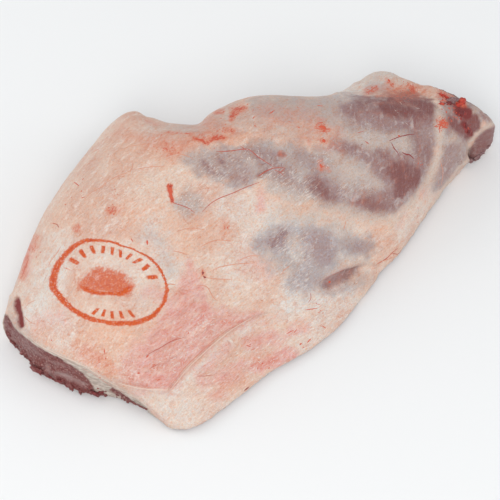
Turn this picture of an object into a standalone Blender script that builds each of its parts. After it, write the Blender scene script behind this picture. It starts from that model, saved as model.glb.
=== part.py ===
"""A raw leg of lamb, lying on its inner side, as one solid.

Units are metres, +Z up. The origin is on the table, under the middle of the leg. +X runs from the broad
cut end to the shank, and +Y towards the back of the thigh. The sizes below are in millimetres.

The leg is lofted across ribs, from the front edge to the back edge, and each rib has a crest of lean meat
and, at the front, a thin flap of flank. Muscles, folds and cuts are then pressed into the skin.
"""

import math
from collections import namedtuple

import bmesh
import bpy
import numpy as np
from mathutils import noise

MM = 0.001
TINY = 1e-6  # how near 0 or 1 a share counts as lying on the block's own face

# The mesh of the leg: a block cut into this many cells along, across and up. The first and last cell
# along are narrower, so that the cut ends keep a crisp rim.
CELLS_ALONG = 58
CELLS_ACROSS = 40
CELLS_UP = 5
END_CELL = 0.3

# Each rib runs across the leg, from the front edge to the back edge, as seen from above. crest is how high
# its thickest place stands and crest_at how far along the rib that is. A lip is how high the edge itself
# lies. round is 0 where the top comes down as a ramp to a flap and 1 where it comes down round and steep.
Rib = namedtuple(
    "Rib", "front back crest crest_at front_lip back_lip front_round back_round"
)
RIBS = (
    Rib((-110, -81), (-158, 31), 34, 0.50, 3, 14, -0.6, 0.7),
    Rib((-97, -88), (-135, 51), 54, 0.60, 3, 18, 0.0, 0.8),
    Rib((-69, -86), (-102, 78), 68, 0.60, 3, 20, 0.1, 0.75),
    Rib((-39, -82), (-61, 100), 76, 0.57, 3, 22, 0.1, 0.65),
    Rib((-7, -82), (-18, 115), 80, 0.57, 3, 24, 0.1, 0.6),
    Rib((20, -76), (3, 80), 80, 0.63, 3, 24, 0.15, 0.8),
    Rib((48, -65), (41, 73), 78, 0.63, 4, 24, 0.25, 1.0),
    Rib((74, -56), (75, 51), 72, 0.60, 5, 24, 0.5, 1.0),
    Rib((95, -47), (107, 48), 65, 0.52, 7, 20, 0.8, 0.9),
    Rib((113, -39), (132, 56), 58, 0.47, 9, 14, 0.9, 0.7),
    Rib((130, -33), (154, 22), 51, 0.48, 11, 14, 1.0, 0.8),
    Rib((144, -27), (174, -11), 37, 0.50, 12, 12, 1.0, 1.0),
)

# How far the broad cut and the shank's end bulge past the first and last rib, evenly spaced from front to
# back, and the share of the leg's length over which that dies away.
CUT_BOW = (0.0, -2.0, -2.5, 2.0, 7.0, 8.5, 9.0, 5.5, 1.0)
SHANK_BOW = (0.0, -1.0, 5.0, 8.0, 1.0)
BOW_REACH = 0.14

EDGE_SHARE = 0.985  # how near the sheets come to the ends of a rib before the side closes them
EDGE_BULGE = 0.0075  # how far the middle of the side stands out, as a share of the rib
FLAP_THICKNESS = 7  # the flank, where it lies flat on the table
FLAP_EDGE = 7.0  # how squarely the flap ends: a higher power is squarer
BLEND_POWER = 5.0  # how closely the flap turns up into the thick of the leg
RAMP_FOOT, ROUND_FOOT = 1.25, 0.45  # the power of the slope's foot, as a ramp and as a round side
RAMP_TOP, ROUND_TOP = 1.7, 2.3  # the power of the slope's top
UNDER_POWER = 4.0  # how squarely the underside turns up to the edge
REST_SHARE = 0.55  # how far from the crest line to the edge the underside lies flat on the table
EDGE_ANGLE = math.radians(16)  # where, round a rib, the top sheet gives way to the side


# The muscles under the skin, as oval bulges: the middle, the half length and half width, the turn of the
# length from +X, and how high it stands.
Swell = namedtuple("Swell", "x y half_length half_width turn rise")
SWELLS = (
    Swell(103, 2, 36, 13, -25, 3.0),  # the shank's long muscle
    Swell(88, -35, 20, 12, 35, 2.0),  # the calf
    Swell(56, -32, 24, 11, -15, 1.8),
    Swell(-3, -34, 15, 12, 0, 2.0),  # the knee side's two lobes
    Swell(25, -40, 16, 11, -10, 2.2),
    Swell(-66, 20, 38, 30, 30, 1.5),  # the rump
    Swell(27, -63, 20, 7, -5, -6.0),  # the hollow under the knee's fold
    Swell(-42, 8, 12, 9, 60, -1.5),
    Swell(-4, 80, 12, 16, 0, -9.0),  # the dip beside the corner of the rump
)

# Long folds of the skin: where they run, the half width and how high (or, below 0, how deep).
Fold = namedtuple("Fold", "path half_width rise")
FOLDS = (
    Fold(((84, 46), (100, 38), (114, 29), (130, 17), (147, 4)), 9, -8.0),  # in front of the heel tendon
    Fold(((104, 54), (121, 48), (136, 34), (150, 15)), 8, 2.5),  # the heel tendon
    Fold(((129, -12), (121, -27), (110, -37), (92, -47)), 4, 1.5),  # the band across the shank
    Fold(((-30, -18), (6, -18), (38, -30), (66, -46)), 7, -1.6),  # between the thigh's muscles
    Fold(((12, -54), (28, -52), (40, -52), (52, -55)), 4, 2.0),  # the knee's fold
)

# The flank's flap lies over the membrane beside it, and its edge runs along this line.
FLAP_LINE = ((-110, -70), (-100, -68), (-89, -64), (-69, -61), (-43, -58), (-24, -58))
FLAP_STEP = 3.0
FLAP_STEP_WIDTH = 4.0
FLAP_STEP_REACH = 26.0

# Gentle unevenness of the skin. The full relief needs meat of this thickness, and it dies away at an edge.
BUMP_SIZES = ((42.0, 1.4), (17.0, 0.6))
RELIEF_DEPTH = 18.0
RELIEF_EDGE = 8.0
CUT_BUMP_SIZE, CUT_BUMP = 12.0, 1.2
SKIN_SMOOTHING = 3  # passes over the top, which soften where steep folds cross the mesh


def smooth_run(values, u):
    """A curve through evenly spaced values, read at u from 0 to 1, with its slopes from the values beside."""
    values = np.asarray(values, float)
    place = np.clip(u, 0, 1) * (len(values) - 1)
    i = np.clip(place.astype(int), 0, len(values) - 2)
    t = place - i
    last = len(values) - 1
    p0, p1 = values[np.maximum(i - 1, 0)], values[i]
    p2, p3 = values[i + 1], values[np.minimum(i + 2, last)]
    return p1 + 0.5 * t * (
        p2 - p0 + t * (2 * p0 - 5 * p1 + 4 * p2 - p3 + t * (3 * (p1 - p2) + p3 - p0))
    )


def ribs_at(u):
    """Every measure of the ribs at the places u along the leg, by name."""
    return {
        name: (
            np.stack([smooth_run([getattr(r, name)[k] for r in RIBS], u) for k in (0, 1)], 1)
            if name in ("front", "back")
            else smooth_run([getattr(r, name) for r in RIBS], u)
        )
        for name in Rib._fields
    }


def slope(share, roundness):
    """Height, 0 to 1, at a share of the way from the crest to the edge."""
    top = RAMP_TOP + (ROUND_TOP - RAMP_TOP) * roundness
    foot = RAMP_FOOT * (ROUND_FOOT / RAMP_FOOT) ** roundness
    return (1 - np.clip(share, 0, 1) ** top) ** foot


def narrow_ends(u):
    """Evenly spaced places along the leg, with the first and last cell narrowed."""
    cell = np.rint(u * CELLS_ALONG)
    moved = (cell - 1 + END_CELL) / (CELLS_ALONG - 2 + 2 * END_CELL)
    return np.clip(moved, 0, 1)


def end_bows(u, across, front, back):
    """How far each vertex is pushed along the leg by the bulge of the cut and of the shank's end."""
    run = back - front
    outward = np.column_stack([run[:, 1], -run[:, 0]])
    outward /= np.linalg.norm(outward, axis=1)[:, None]
    at_cut = np.clip(1 - u / BOW_REACH, 0, 1) ** 2
    at_shank = np.clip(1 - (1 - u) / BOW_REACH, 0, 1) ** 2
    push = smooth_run(SHANK_BOW, across) * at_shank - smooth_run(CUT_BOW, across) * at_cut
    return outward * push[:, None]


def path_distance(x, y, path):
    """Distance from a path, above 0 on its left, and the share of its length beside each place."""
    path = np.asarray(path, float)
    lengths = np.linalg.norm(np.diff(path, axis=0), axis=1)
    before = np.concatenate([[0], np.cumsum(lengths)[:-1]])
    best = np.full(len(x), np.inf)
    signed, share = np.zeros(len(x)), np.zeros(len(x))
    for start, end, length, run in zip(path, path[1:], lengths, before):
        ahead = (end - start) / length
        dx, dy = x - start[0], y - start[1]
        along = np.clip(dx * ahead[0] + dy * ahead[1], 0, length)
        left = np.sign(ahead[0] * dy - ahead[1] * dx)
        distance = np.hypot(dx - along * ahead[0], dy - along * ahead[1])
        nearer = distance < best
        best = np.where(nearer, distance, best)
        signed = np.where(nearer, distance * left, signed)
        share = np.where(nearer, (run + along) / lengths.sum(), share)
    return signed, share


def bumps(x, y, z, sizes):
    """Soft unevenness: smooth noise at each size, in mm, times its height."""
    total = np.zeros(len(x))
    for size, rise in sizes:
        total += [rise * noise.noise((a / size, b / size, c / size)) for a, b, c in zip(x, y, z)]
    return total


def relief(x, y):
    """How far the muscles, folds and unevenness raise the top, in mm, at places seen from above."""
    rise = bumps(x, y, np.zeros(len(x)), BUMP_SIZES)
    for swell in SWELLS:
        turn = math.radians(swell.turn)
        dx, dy = x - swell.x, y - swell.y
        along = (dx * math.cos(turn) + dy * math.sin(turn)) / swell.half_length
        across = (dy * math.cos(turn) - dx * math.sin(turn)) / swell.half_width
        rise += swell.rise * np.exp(-(along**2 + across**2))
    for fold in FOLDS:
        distance, share = path_distance(x, y, fold.path)
        ends = np.clip(4 * np.minimum(share, 1 - share), 0, 1) ** 0.5
        rise += fold.rise * ends * np.exp(-((distance / fold.half_width) ** 2))
    distance, share = path_distance(x, y, FLAP_LINE)
    below = np.clip(distance / FLAP_STEP_WIDTH + 0.5, 0, 1)
    ends = np.clip(6 * np.minimum(share, 1 - share), 0, 1)
    rise -= FLAP_STEP * below * ends * np.exp(-np.abs(distance) / FLAP_STEP_REACH)
    return rise


def leg_points(u, v, w):
    """Where the block's vertices lie on the leg, in mm: u along, v across and w up, each from 0 to 1."""
    u = narrow_ends(u)
    rib = ribs_at(u)
    angle = math.pi - (EDGE_ANGLE + v * (math.pi - 2 * EDGE_ANGLE))
    across = 0.5 * np.cos(angle) / math.cos(EDGE_ANGLE) * EDGE_SHARE + 0.5
    edge = np.where(v < TINY, -1.0, np.where(v > 1 - TINY, 1.0, 0.0))
    across = across + edge * np.sin(w * math.pi) * EDGE_BULGE

    crest_at = rib["crest_at"]
    to_front = across < crest_at
    share = np.where(to_front, (crest_at - across) / crest_at, (across - crest_at) / (1 - crest_at))
    share = np.clip(share, 0, 1)
    roundness = np.where(to_front, rib["front_round"], rib["back_round"])
    lip = rib["front_lip"] + (rib["back_lip"] - rib["front_lip"]) * across
    flap = FLAP_THICKNESS * (1 - share**FLAP_EDGE) ** (1 / FLAP_EDGE)
    body = (rib["crest"] - lip) * slope(share, roundness)
    top = lip + (flap**BLEND_POWER + body**BLEND_POWER) ** (1 / BLEND_POWER)
    off_rest = np.clip((share - REST_SHARE) / (1 - REST_SHARE), 0, 1)
    under = lip * (1 - (1 - off_rest**UNDER_POWER) ** (1 / UNDER_POWER))

    front, back = rib["front"], rib["back"]
    plan = front + (back - front) * across[:, None] + end_bows(u, across, front, back)
    carried = np.clip((top - under) / RELIEF_DEPTH, 0, 1) * (1 - share**RELIEF_EDGE)
    top = top + relief(plan[:, 0], plan[:, 1]) * carried
    return np.column_stack([plan, under + (top - under) * w])


def block():
    """A closed block, cut into cells, from 0 to 1 each way."""
    bm = bmesh.new()
    bmesh.ops.create_cube(bm, size=1)
    bmesh.ops.translate(bm, vec=(0.5, 0.5, 0.5), verts=bm.verts)
    for axis, cells in enumerate((CELLS_ALONG, CELLS_ACROSS, CELLS_UP)):
        along = [e for e in bm.edges if abs(e.verts[0].co[axis] - e.verts[1].co[axis]) > 0.5]
        bmesh.ops.subdivide_edges(bm, edges=along, cuts=cells - 1, use_grid_fill=True)
    return bm


def fat_material():
    material = bpy.data.materials.new("fell_and_fat")
    material.use_nodes = True
    shader = material.node_tree.nodes["Principled BSDF"]
    shader.inputs["Base Color"].default_value = (0.76, 0.60, 0.50, 1)
    shader.inputs["Roughness"].default_value = 0.5
    shader.inputs["Metallic"].default_value = 0.0
    return material


def make_leg():
    bm = block()
    uvw = np.array([v.co for v in bm.verts])
    points = leg_points(*uvw.T)
    on_cut = (uvw[:, 0] < TINY) & (uvw[:, 2] > TINY) & (uvw[:, 2] < 1 - TINY)
    points[on_cut, 0] += bumps(*points[on_cut].T, ((CUT_BUMP_SIZE, CUT_BUMP),))
    low, high = points.min(0), points.max(0)
    points -= [(low[0] + high[0]) / 2, (low[1] + high[1]) / 2, low[2]]
    for vertex, point in zip(bm.verts, points * MM):
        vertex.co = point
    top = [v for v, (u, _, w) in zip(bm.verts, uvw) if w > 1 - TINY and TINY < u < 1 - TINY]
    for _ in range(SKIN_SMOOTHING):
        bmesh.ops.smooth_vert(bm, verts=top, factor=0.5, use_axis_x=True, use_axis_y=True, use_axis_z=True)
    bmesh.ops.recalc_face_normals(bm, faces=bm.faces)
    mesh = bpy.data.meshes.new("leg")
    bm.to_mesh(mesh)
    bm.free()
    mesh.materials.append(fat_material())
    mesh.shade_smooth()
    leg = bpy.data.objects.new("leg", mesh)
    bpy.context.scene.collection.objects.link(leg)
    return leg


for old in list(bpy.data.objects):
    bpy.data.objects.remove(old)
make_leg()
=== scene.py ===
import math
from collections import namedtuple

import bmesh
import bpy
import numpy as np
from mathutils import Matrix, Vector, noise
from mathutils.bvhtree import BVHTree


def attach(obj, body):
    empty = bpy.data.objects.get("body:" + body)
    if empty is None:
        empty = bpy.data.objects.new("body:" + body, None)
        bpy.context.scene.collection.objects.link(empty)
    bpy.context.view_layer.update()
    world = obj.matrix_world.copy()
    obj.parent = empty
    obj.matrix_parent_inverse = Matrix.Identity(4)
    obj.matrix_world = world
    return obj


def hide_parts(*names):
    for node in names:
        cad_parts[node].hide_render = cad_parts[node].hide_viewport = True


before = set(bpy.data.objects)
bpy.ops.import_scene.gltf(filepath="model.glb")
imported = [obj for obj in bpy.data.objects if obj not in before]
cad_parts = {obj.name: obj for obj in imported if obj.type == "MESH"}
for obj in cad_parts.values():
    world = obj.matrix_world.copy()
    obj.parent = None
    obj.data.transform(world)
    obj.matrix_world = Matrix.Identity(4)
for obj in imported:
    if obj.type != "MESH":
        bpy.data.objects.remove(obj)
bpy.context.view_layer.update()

MM = 0.001

# The camera looks down on the leg from the flank's side, with the shank away to the right. The photograph's
# middle falls on the table a little to the left of the leg's own middle. Its frame is square, and a pixel
# of it covers the same width on the table all over, near enough.
PHOTO_WIDTH = 500
PIXEL = 0.62 * MM
VIEW_AZIMUTH = math.radians(-34)
VIEW_ELEVATION = math.radians(56)
CAMERA_DISTANCE = 1.35
PHOTO_MIDDLE = Vector((-7.8, -13.6, 0.0)) * MM

TOWARDS_CAMERA = Vector((
    math.sin(VIEW_AZIMUTH) * math.cos(VIEW_ELEVATION),
    -math.cos(VIEW_AZIMUTH) * math.cos(VIEW_ELEVATION),
    math.sin(VIEW_ELEVATION),
))
PHOTO_RIGHT = Vector((math.cos(VIEW_AZIMUTH), math.sin(VIEW_AZIMUTH), 0.0))
PHOTO_UP = TOWARDS_CAMERA.cross(PHOTO_RIGHT)
CAMERA_PLACE = PHOTO_MIDDLE + TOWARDS_CAMERA * CAMERA_DISTANCE

camera = bpy.data.objects.new("camera", bpy.data.cameras.new("camera"))
camera.location = CAMERA_PLACE
camera.rotation_mode = "QUATERNION"
camera.rotation_quaternion = (-TOWARDS_CAMERA).to_track_quat("-Z", "Y")
camera.data.sensor_width = 36
camera.data.lens = camera.data.sensor_width * CAMERA_DISTANCE / (PHOTO_WIDTH * PIXEL)
bpy.context.scene.collection.objects.link(camera)
bpy.context.scene.camera = camera
bpy.context.scene.view_settings.view_transform = "Standard"


# A pale floor that runs out of sight, and soft studio light: a wide lamp over the camera's left shoulder,
# a fainter one on the right, one behind the leg, and an even grey all round.
FLOOR_SIZE = 6.0
FLOOR_COLOUR = (0.86, 0.86, 0.86, 1)
SKY_COLOUR = (0.95, 0.98, 1.0, 1)
SKY_STRENGTH = 0.70
Lamp = namedtuple("Lamp", "name place size power colour")
LAMPS = (
    Lamp("key_lamp", (-0.85, -1.0, 1.3), 0.9, 11, (1.0, 0.985, 0.965)),
    Lamp("fill_lamp", (0.9, -1.0, 1.0), 1.0, 3.6, (0.97, 0.98, 1.0)),
    Lamp("back_lamp", (-0.9, 1.1, 1.0), 1.2, 6.5, (1.0, 1.0, 1.0)),
)


def principled(name, colour, roughness):
    """A new material whose Principled BSDF has this colour and roughness, with its node tree and shader."""
    material = bpy.data.materials.new(name)
    material.use_nodes = True
    shader = material.node_tree.nodes["Principled BSDF"]
    shader.inputs["Base Color"].default_value = colour
    shader.inputs["Roughness"].default_value = roughness
    return material, material.node_tree, shader


floor_mesh = bpy.data.meshes.new("floor")
bm = bmesh.new()
bmesh.ops.create_grid(bm, x_segments=1, y_segments=1, size=FLOOR_SIZE / 2)
bm.to_mesh(floor_mesh)
bm.free()
floor = bpy.data.objects.new("floor", floor_mesh)
floor.data.materials.append(principled("floor_paper", FLOOR_COLOUR, 0.8)[0])
bpy.context.scene.collection.objects.link(floor)

for lamp in LAMPS:
    light = bpy.data.lights.new(lamp.name, "AREA")
    light.size = lamp.size
    light.energy = lamp.power
    light.color = lamp.colour
    holder = bpy.data.objects.new(lamp.name, light)
    holder.location = lamp.place
    holder.rotation_mode = "QUATERNION"
    holder.rotation_quaternion = (-Vector(lamp.place)).to_track_quat("-Z", "Y")
    bpy.context.scene.collection.objects.link(holder)

world = bpy.data.worlds.new("studio")
world.use_nodes = True
world.node_tree.nodes["Background"].inputs["Color"].default_value = SKY_COLOUR
world.node_tree.nodes["Background"].inputs["Strength"].default_value = SKY_STRENGTH
bpy.context.scene.world = world


# The leg's flesh and its skin of fat, as one closed surface. The solid's facets are rounded by subdivision,
# and a fine even mesh is laid over the result, so that folds, cuts and the ragged lean can be worked in.
SKIN_CELL = 1.25 * MM
SKIN_SMOOTHING = 4


def copied_mesh(node):
    """A merged copy of a CAD node's mesh, with its triangles joined back into quads."""
    bm = bmesh.new()
    bm.from_mesh(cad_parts[node].data)
    bmesh.ops.remove_doubles(bm, verts=bm.verts, dist=0.01 * MM)
    bmesh.ops.join_triangles(
        bm, faces=bm.faces, angle_face_threshold=math.radians(40), angle_shape_threshold=math.radians(60)
    )
    mesh = bpy.data.meshes.new("rough_" + node)
    bm.to_mesh(mesh)
    bm.free()
    return mesh


def finished_mesh(obj, name):
    """The object's mesh with its modifiers applied, as a new mesh."""
    depsgraph = bpy.context.evaluated_depsgraph_get()
    mesh = bpy.data.meshes.new_from_object(obj.evaluated_get(depsgraph))
    mesh.name = name
    return mesh


rough = bpy.data.objects.new("rough_leg", copied_mesh("leg"))
bpy.context.scene.collection.objects.link(rough)
rounding = rough.modifiers.new("rounding", "SUBSURF")
rounding.levels = rounding.render_levels = 2
laying = rough.modifiers.new("laying", "REMESH")
laying.mode = "VOXEL"
laying.voxel_size = SKIN_CELL
skin_mesh = finished_mesh(rough, "leg_flesh")
bpy.data.objects.remove(rough)

bm = bmesh.new()
bm.from_mesh(skin_mesh)
for _ in range(SKIN_SMOOTHING):
    bmesh.ops.smooth_vert(bm, verts=bm.verts, factor=0.5, use_axis_x=True, use_axis_y=True, use_axis_z=True)
bm.normal_update()
places = np.array([v.co for v in bm.verts])
normals = np.array([v.normal for v in bm.verts])


def pixels_of(points):
    """The photograph's pixel, x and y, where each place is seen."""
    offset = points - np.array(CAMERA_PLACE)
    depth = -offset @ np.array(TOWARDS_CAMERA)
    scale = CAMERA_DISTANCE / depth / PIXEL
    x = PHOTO_WIDTH / 2 + offset @ np.array(PHOTO_RIGHT) * scale
    y = PHOTO_WIDTH / 2 - offset @ np.array(PHOTO_UP) * scale
    return x, y


def waves(points, size, seed=0.0):
    """Smooth noise over the places, from about -1 to 1, with bumps of this size in mm."""
    scaled = points / (size * MM) + seed
    return np.array([noise.noise(p) for p in scaled.tolist()])


def rough_waves(points, size, seed=0.0, octaves=3):
    """Noise over the places with finer bumps on the coarser ones."""
    return sum(waves(points, size / 2**k, seed + 7.3 * k) / 1.6**k for k in range(octaves))


def smooth_step(low, high, value):
    """value brought from low..high to 0..1, smoothly."""
    t = np.clip((value - low) / (high - low), 0, 1)
    return t * t * (3 - 2 * t)


def rounded_path(pixels, closed=False, steps=3):
    """The path through these pixels with its corners rounded off."""
    points = np.array(pixels, float)
    count = len(points)
    if count < 3 and not closed:
        return points
    rounded = []
    for i in range(count if closed else count - 1):
        near = [i - 1, i, i + 1, i + 2]
        near = [k % count for k in near] if closed else [min(max(k, 0), count - 1) for k in near]
        a, b, c, d = points[near]
        for t in np.arange(steps) / steps:
            bend = c - a + t * (2 * a - 5 * b + 4 * c - d + t * (3 * (b - c) + d - a))
            rounded.append(b + 0.5 * t * bend)
    if not closed:
        rounded.append(points[-1])
    return np.array(rounded)


def gap_to(pixels, x, y, closed=False):
    """How far each pixel place is from a path, in mm on the table; negative inside a closed one."""
    path = rounded_path(pixels, closed)
    seen = np.column_stack([x, y])
    if len(path) == 1:
        return np.linalg.norm(seen - path[0], axis=1) * PIXEL / MM
    nearest = np.full(len(seen), np.inf)
    inside = np.zeros(len(seen), bool)
    ends = np.roll(path, -1, axis=0) if closed else path[1:]
    for start, end in zip(path, ends):
        run = end - start
        away = seen - start
        share = np.clip(away @ run / max(run @ run, 1e-9), 0, 1)
        gap = away - share[:, None] * run
        nearest = np.minimum(nearest, np.einsum("ij,ij->i", gap, gap))
        crosses = (start[1] > y) != (end[1] > y)
        if closed and crosses.any():
            inside ^= crosses & (x < start[0] + run[0] * (y - start[1]) / (run[1] or 1e-9))
    return np.sqrt(nearest) * np.where(inside, -1, 1) * PIXEL / MM


facing = normals @ np.array(TOWARDS_CAMERA)
photo_x, photo_y = pixels_of(places)
warp = rough_waves(places, 9.0, 3.1)
fine_warp = rough_waves(places, 3.2, 11.7, octaves=2)


def bump_along(pixels, half_width, closed=False):
    """A ridge of height 1 along a path, with this half width in mm, on the side that the photo shows."""
    return np.exp(-(gap_to(pixels, photo_x, photo_y, closed) / half_width) ** 2) * (facing > 0)


# The cut face at the broad end, where saw and knife took the leg off the loin. Under the rim lies a band of
# bluish fat, and below it the lean, dark and drawn into seams, with its lower edge left ragged.
CUT_OUTWARD = Vector((-0.93, -0.36, 0.0))
CUT_REACH = -80 * MM
END_OUTWARD = Vector((0.97, 0.20, 0.0))
END_REACH = 140 * MM
BONE_RADIUS = 9.0
MARROW_RADIUS = 4.5
RIM_PIXELS = (
    (0, 311), (8, 315), (13, 323), (25, 334.5), (40, 346), (60, 356), (75, 362), (90, 370), (105, 380),
    (115, 386), (127, 392), (139, 400), (150, 411), (165, 426), (178, 438),
)
LEAN_PIXELS = (
    (0, 316), (8, 315), (13, 323), (16, 329), (25, 337), (35, 345), (45, 351), (55, 357), (65, 362),
    (75, 368), (85, 376), (93, 385), (97, 391), (104, 394), (98, 404), (75, 402), (50, 392), (20, 375),
    (-5, 350),
)
SLIVER_PIXELS = ((112, 390), (122, 396), (130, 402), (145, 411))
Seam = namedtuple("Seam", "pixels strength half_width")
SEAMS = (
    Seam(((56, 373), (64, 375), (72, 379), (84, 384)), 1.0, 1.0),
    Seam(((46, 366), (51, 374), (57, 379)), 0.7, 1.2),
    Seam(((22, 341), (34, 352), (50, 362), (64, 367)), 0.35, 0.8),
)

rim_line = np.interp(photo_x, *zip(*RIM_PIXELS))
cut_seen = smooth_step(-1.0, 1.5, photo_y - rim_line + 0.8 * fine_warp) * (photo_x < 176)
cut_hidden = smooth_step(0.5, 0.65, normals @ np.array(CUT_OUTWARD)) * (places[:, 0] < CUT_REACH)
cut = np.where(facing > 0.02, cut_seen, cut_hidden)
end_hidden = smooth_step(0.5, 0.7, normals @ np.array(END_OUTWARD))
end_hidden *= (places[:, 0] > END_REACH) * (facing < 0.3)
end_middle = places[end_hidden > 0.9].mean(axis=0)
end_radius = np.linalg.norm((places - end_middle)[:, 1:], axis=1) / MM + 0.8 * fine_warp
lean_gap = gap_to(LEAN_PIXELS, photo_x, photo_y, closed=True) + 0.5 * fine_warp
sliver_gap = gap_to(SLIVER_PIXELS, photo_x, photo_y) + 0.4 * fine_warp
lean_seen = np.maximum(smooth_step(0.6, -0.6, lean_gap), smooth_step(1.9, 0.9, sliver_gap))
lean_hidden = smooth_step(-0.2, 0.3, warp) * (places[:, 1] < 20 * MM)
cut_lean = cut * np.where(facing > 0.02, lean_seen, lean_hidden)
cut = np.maximum(cut, end_hidden)
cut_lean = np.maximum(cut_lean, end_hidden * smooth_step(BONE_RADIUS - 0.5, BONE_RADIUS + 0.5, end_radius))
cut_lean = np.maximum(cut_lean, 0.8 * end_hidden * smooth_step(MARROW_RADIUS, MARROW_RADIUS - 1, end_radius))
seams = [seam.strength * cut * bump_along(seam.pixels, seam.half_width) for seam in SEAMS]
cut_seam = np.max(seams, axis=0)


# The relief of the skin: its soft unevenness, the flap's edge over the membrane, the knee's fold, the slit
# near the corner, muscles that swell under thin fell, and the cut's grain. A ridge has a path, a height and
# a half width in mm. A groove's height is below zero, and a swell goes on round the outline.
Ridge = namedtuple("Ridge", "pixels height half_width")
Bumps = namedtuple("Bumps", "height size seed")
SKIN_BUMPS = (Bumps(0.30, 14, 5.0), Bumps(0.20, 6, 9.0), Bumps(0.10, 3.2, 1.0))
FLAP_EDGE_PIXELS = (
    (168, 392), (176, 383), (185, 372), (197, 360), (213, 345), (232, 330), (253, 318), (272, 312),
)
FLAP_HEIGHT = 1.1
MEMBRANE_HEIGHT = -1.6
FLAP_REACH = 6.0
KNEE_FOLD_PIXELS = ((320, 281), (330, 274), (346, 267), (362, 263.5), (376, 265))
LOBES = (
    ((272, 240), (285, 234)), ((318, 236), (322, 256)), ((306, 282), (300, 290)), ((322, 190), (330, 198)),
    ((382, 205), (398, 185)), ((376, 110), (420, 114)), ((449, 158), (446, 172)), ((214, 166), (232, 172)),
)
BETWEEN_LOBES = (
    ((293, 236), (297, 258)), ((340, 148), (352, 172), (345, 190)), ((385, 135), (350, 133)),
    ((440, 128), (438, 160), (425, 184)), ((486, 126), (474, 137), (466, 158)),
)
CREASES = (
    ((150, 387), (125, 383), (108, 375)), ((146, 356), (160, 348), (180, 337)),
    ((146, 372), (165, 363), (182, 352)),
)
FOLDS = {
    "knee's fold": Ridge(KNEE_FOLD_PIXELS, 1.5, 1.8),
    "knee's hollow": Ridge(((324, 284), (342, 277), (360, 270)), -2.8, 3.4),
    "slit's lip": Ridge(((12, 297), (11, 308), (13, 318), (18, 328), (26, 332)), 1.1, 1.8),
    "slit": Ridge(((17, 299), (18.5, 308), (20, 317), (21.5, 325)), -1.0, 1.5),
}
RIDGES = (
    *FOLDS.values(),
    *(Ridge(pixels, 0.7, 6.5) for pixels in LOBES),
    *(Ridge(pixels, 0.5, 2.2) for pixels in BETWEEN_LOBES),
    *(Ridge(pixels, -0.25, 1.0) for pixels in CREASES),
)
SWELLS = {
    "dip": Ridge(((148, 112), (160, 117), (172, 119), (186, 120), (196, 119)), -3.6, 6.0),
    "shank's corner": Ridge(((474, 170), (464, 182), (452, 194)), -3.2, 5.0),
    "hump's slope": Ridge(((338, 94), (346, 90), (354, 85)), 2.2, 4.0),
    "hump's back": Ridge(((402, 76), (412, 79), (421, 82)), -1.6, 5.0),
    "sawn end": Ridge(((494, 127), (495, 133), (493, 139)), 1.6, 5.0),
    "sawn end's upper corner": Ridge(((489, 111), (494, 117)), -2.2, 3.5),
    "tendon": Ridge(((430, 87), (440, 91), (450, 94)), 1.0, 4.0),
    "notch by the knee": Ridge(((380, 271), (384, 276), (388, 270)), -1.6, 4.0),
    "sawn end's lower corner": Ridge(((468, 161), (475, 158)), 4.2, 3.8),
    "foot of the cut": Ridge(((36, 367), (50, 375), (66, 381), (84, 388), (98, 391)), 1.9, 3.5),
}
EDGE_BUMPS = Bumps(0.55, 5.0, 41.0)
GRAIN_SIZE = 4.0
GRAIN_STRETCH = (1.0, 0.6, 1.6)
SEAM_DEPTH = 1.2
LEAN_DEPTH = 0.5
BLIND_SIDE = -0.75


def swell_at(pixels, half_width):
    """A broad swell along a path near the outline, carried round to the side that the camera doesn't see."""
    return np.exp(-(gap_to(pixels, photo_x, photo_y) / half_width) ** 2) * (facing > BLIND_SIDE)


relief = sum(bumps.height * waves(places, bumps.size, bumps.seed) for bumps in SKIN_BUMPS)
flap_gap = gap_to(FLAP_EDGE_PIXELS, photo_x, photo_y)
flap_line = np.interp(photo_x, *zip(*FLAP_EDGE_PIXELS))
near_flap = smooth_step(165, 171, photo_x) * smooth_step(276, 252, photo_x) * (facing > 0)
flap_rise = np.where(photo_y > flap_line, FLAP_HEIGHT, MEMBRANE_HEIGHT) * smooth_step(0, 0.9, flap_gap)
relief += near_flap * flap_rise * np.exp(-flap_gap / FLAP_REACH)
for ridge in RIDGES:
    relief += ridge.height * bump_along(ridge.pixels, ridge.half_width)
for swell in SWELLS.values():
    relief += swell.height * swell_at(swell.pixels, swell.half_width)
at_edge = np.exp(-(facing / 0.35) ** 2) * (photo_x > 150) * (places[:, 1] < 0)
relief += at_edge * EDGE_BUMPS.height * rough_waves(places, EDGE_BUMPS.size, EDGE_BUMPS.seed, octaves=2)
grain = rough_waves(places * np.array(GRAIN_STRETCH), GRAIN_SIZE, 21.0)
cut_relief = cut * ((0.2 + 0.4 * cut_lean) * grain - SEAM_DEPTH * cut_seam)
relief += cut_relief + cut_lean * (0.7 * waves(places, 7, 2.0) - LEAN_DEPTH)
relief = np.where(normals[:, 2] < -0.5, np.minimum(relief, 0.0), relief)

moved = places + normals * (relief * MM)[:, None]
for vertex, place in zip(bm.verts, moved.tolist()):
    vertex.co = place
bm.to_mesh(skin_mesh)
skin_mesh.shade_smooth()
bm.normal_update()
skin_tree = BVHTree.FromBMesh(bm)
bm.free()

flesh = bpy.data.objects.new("leg_flesh", skin_mesh)
bpy.context.scene.collection.objects.link(flesh)
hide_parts("leg")
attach(flesh, "root")


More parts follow.
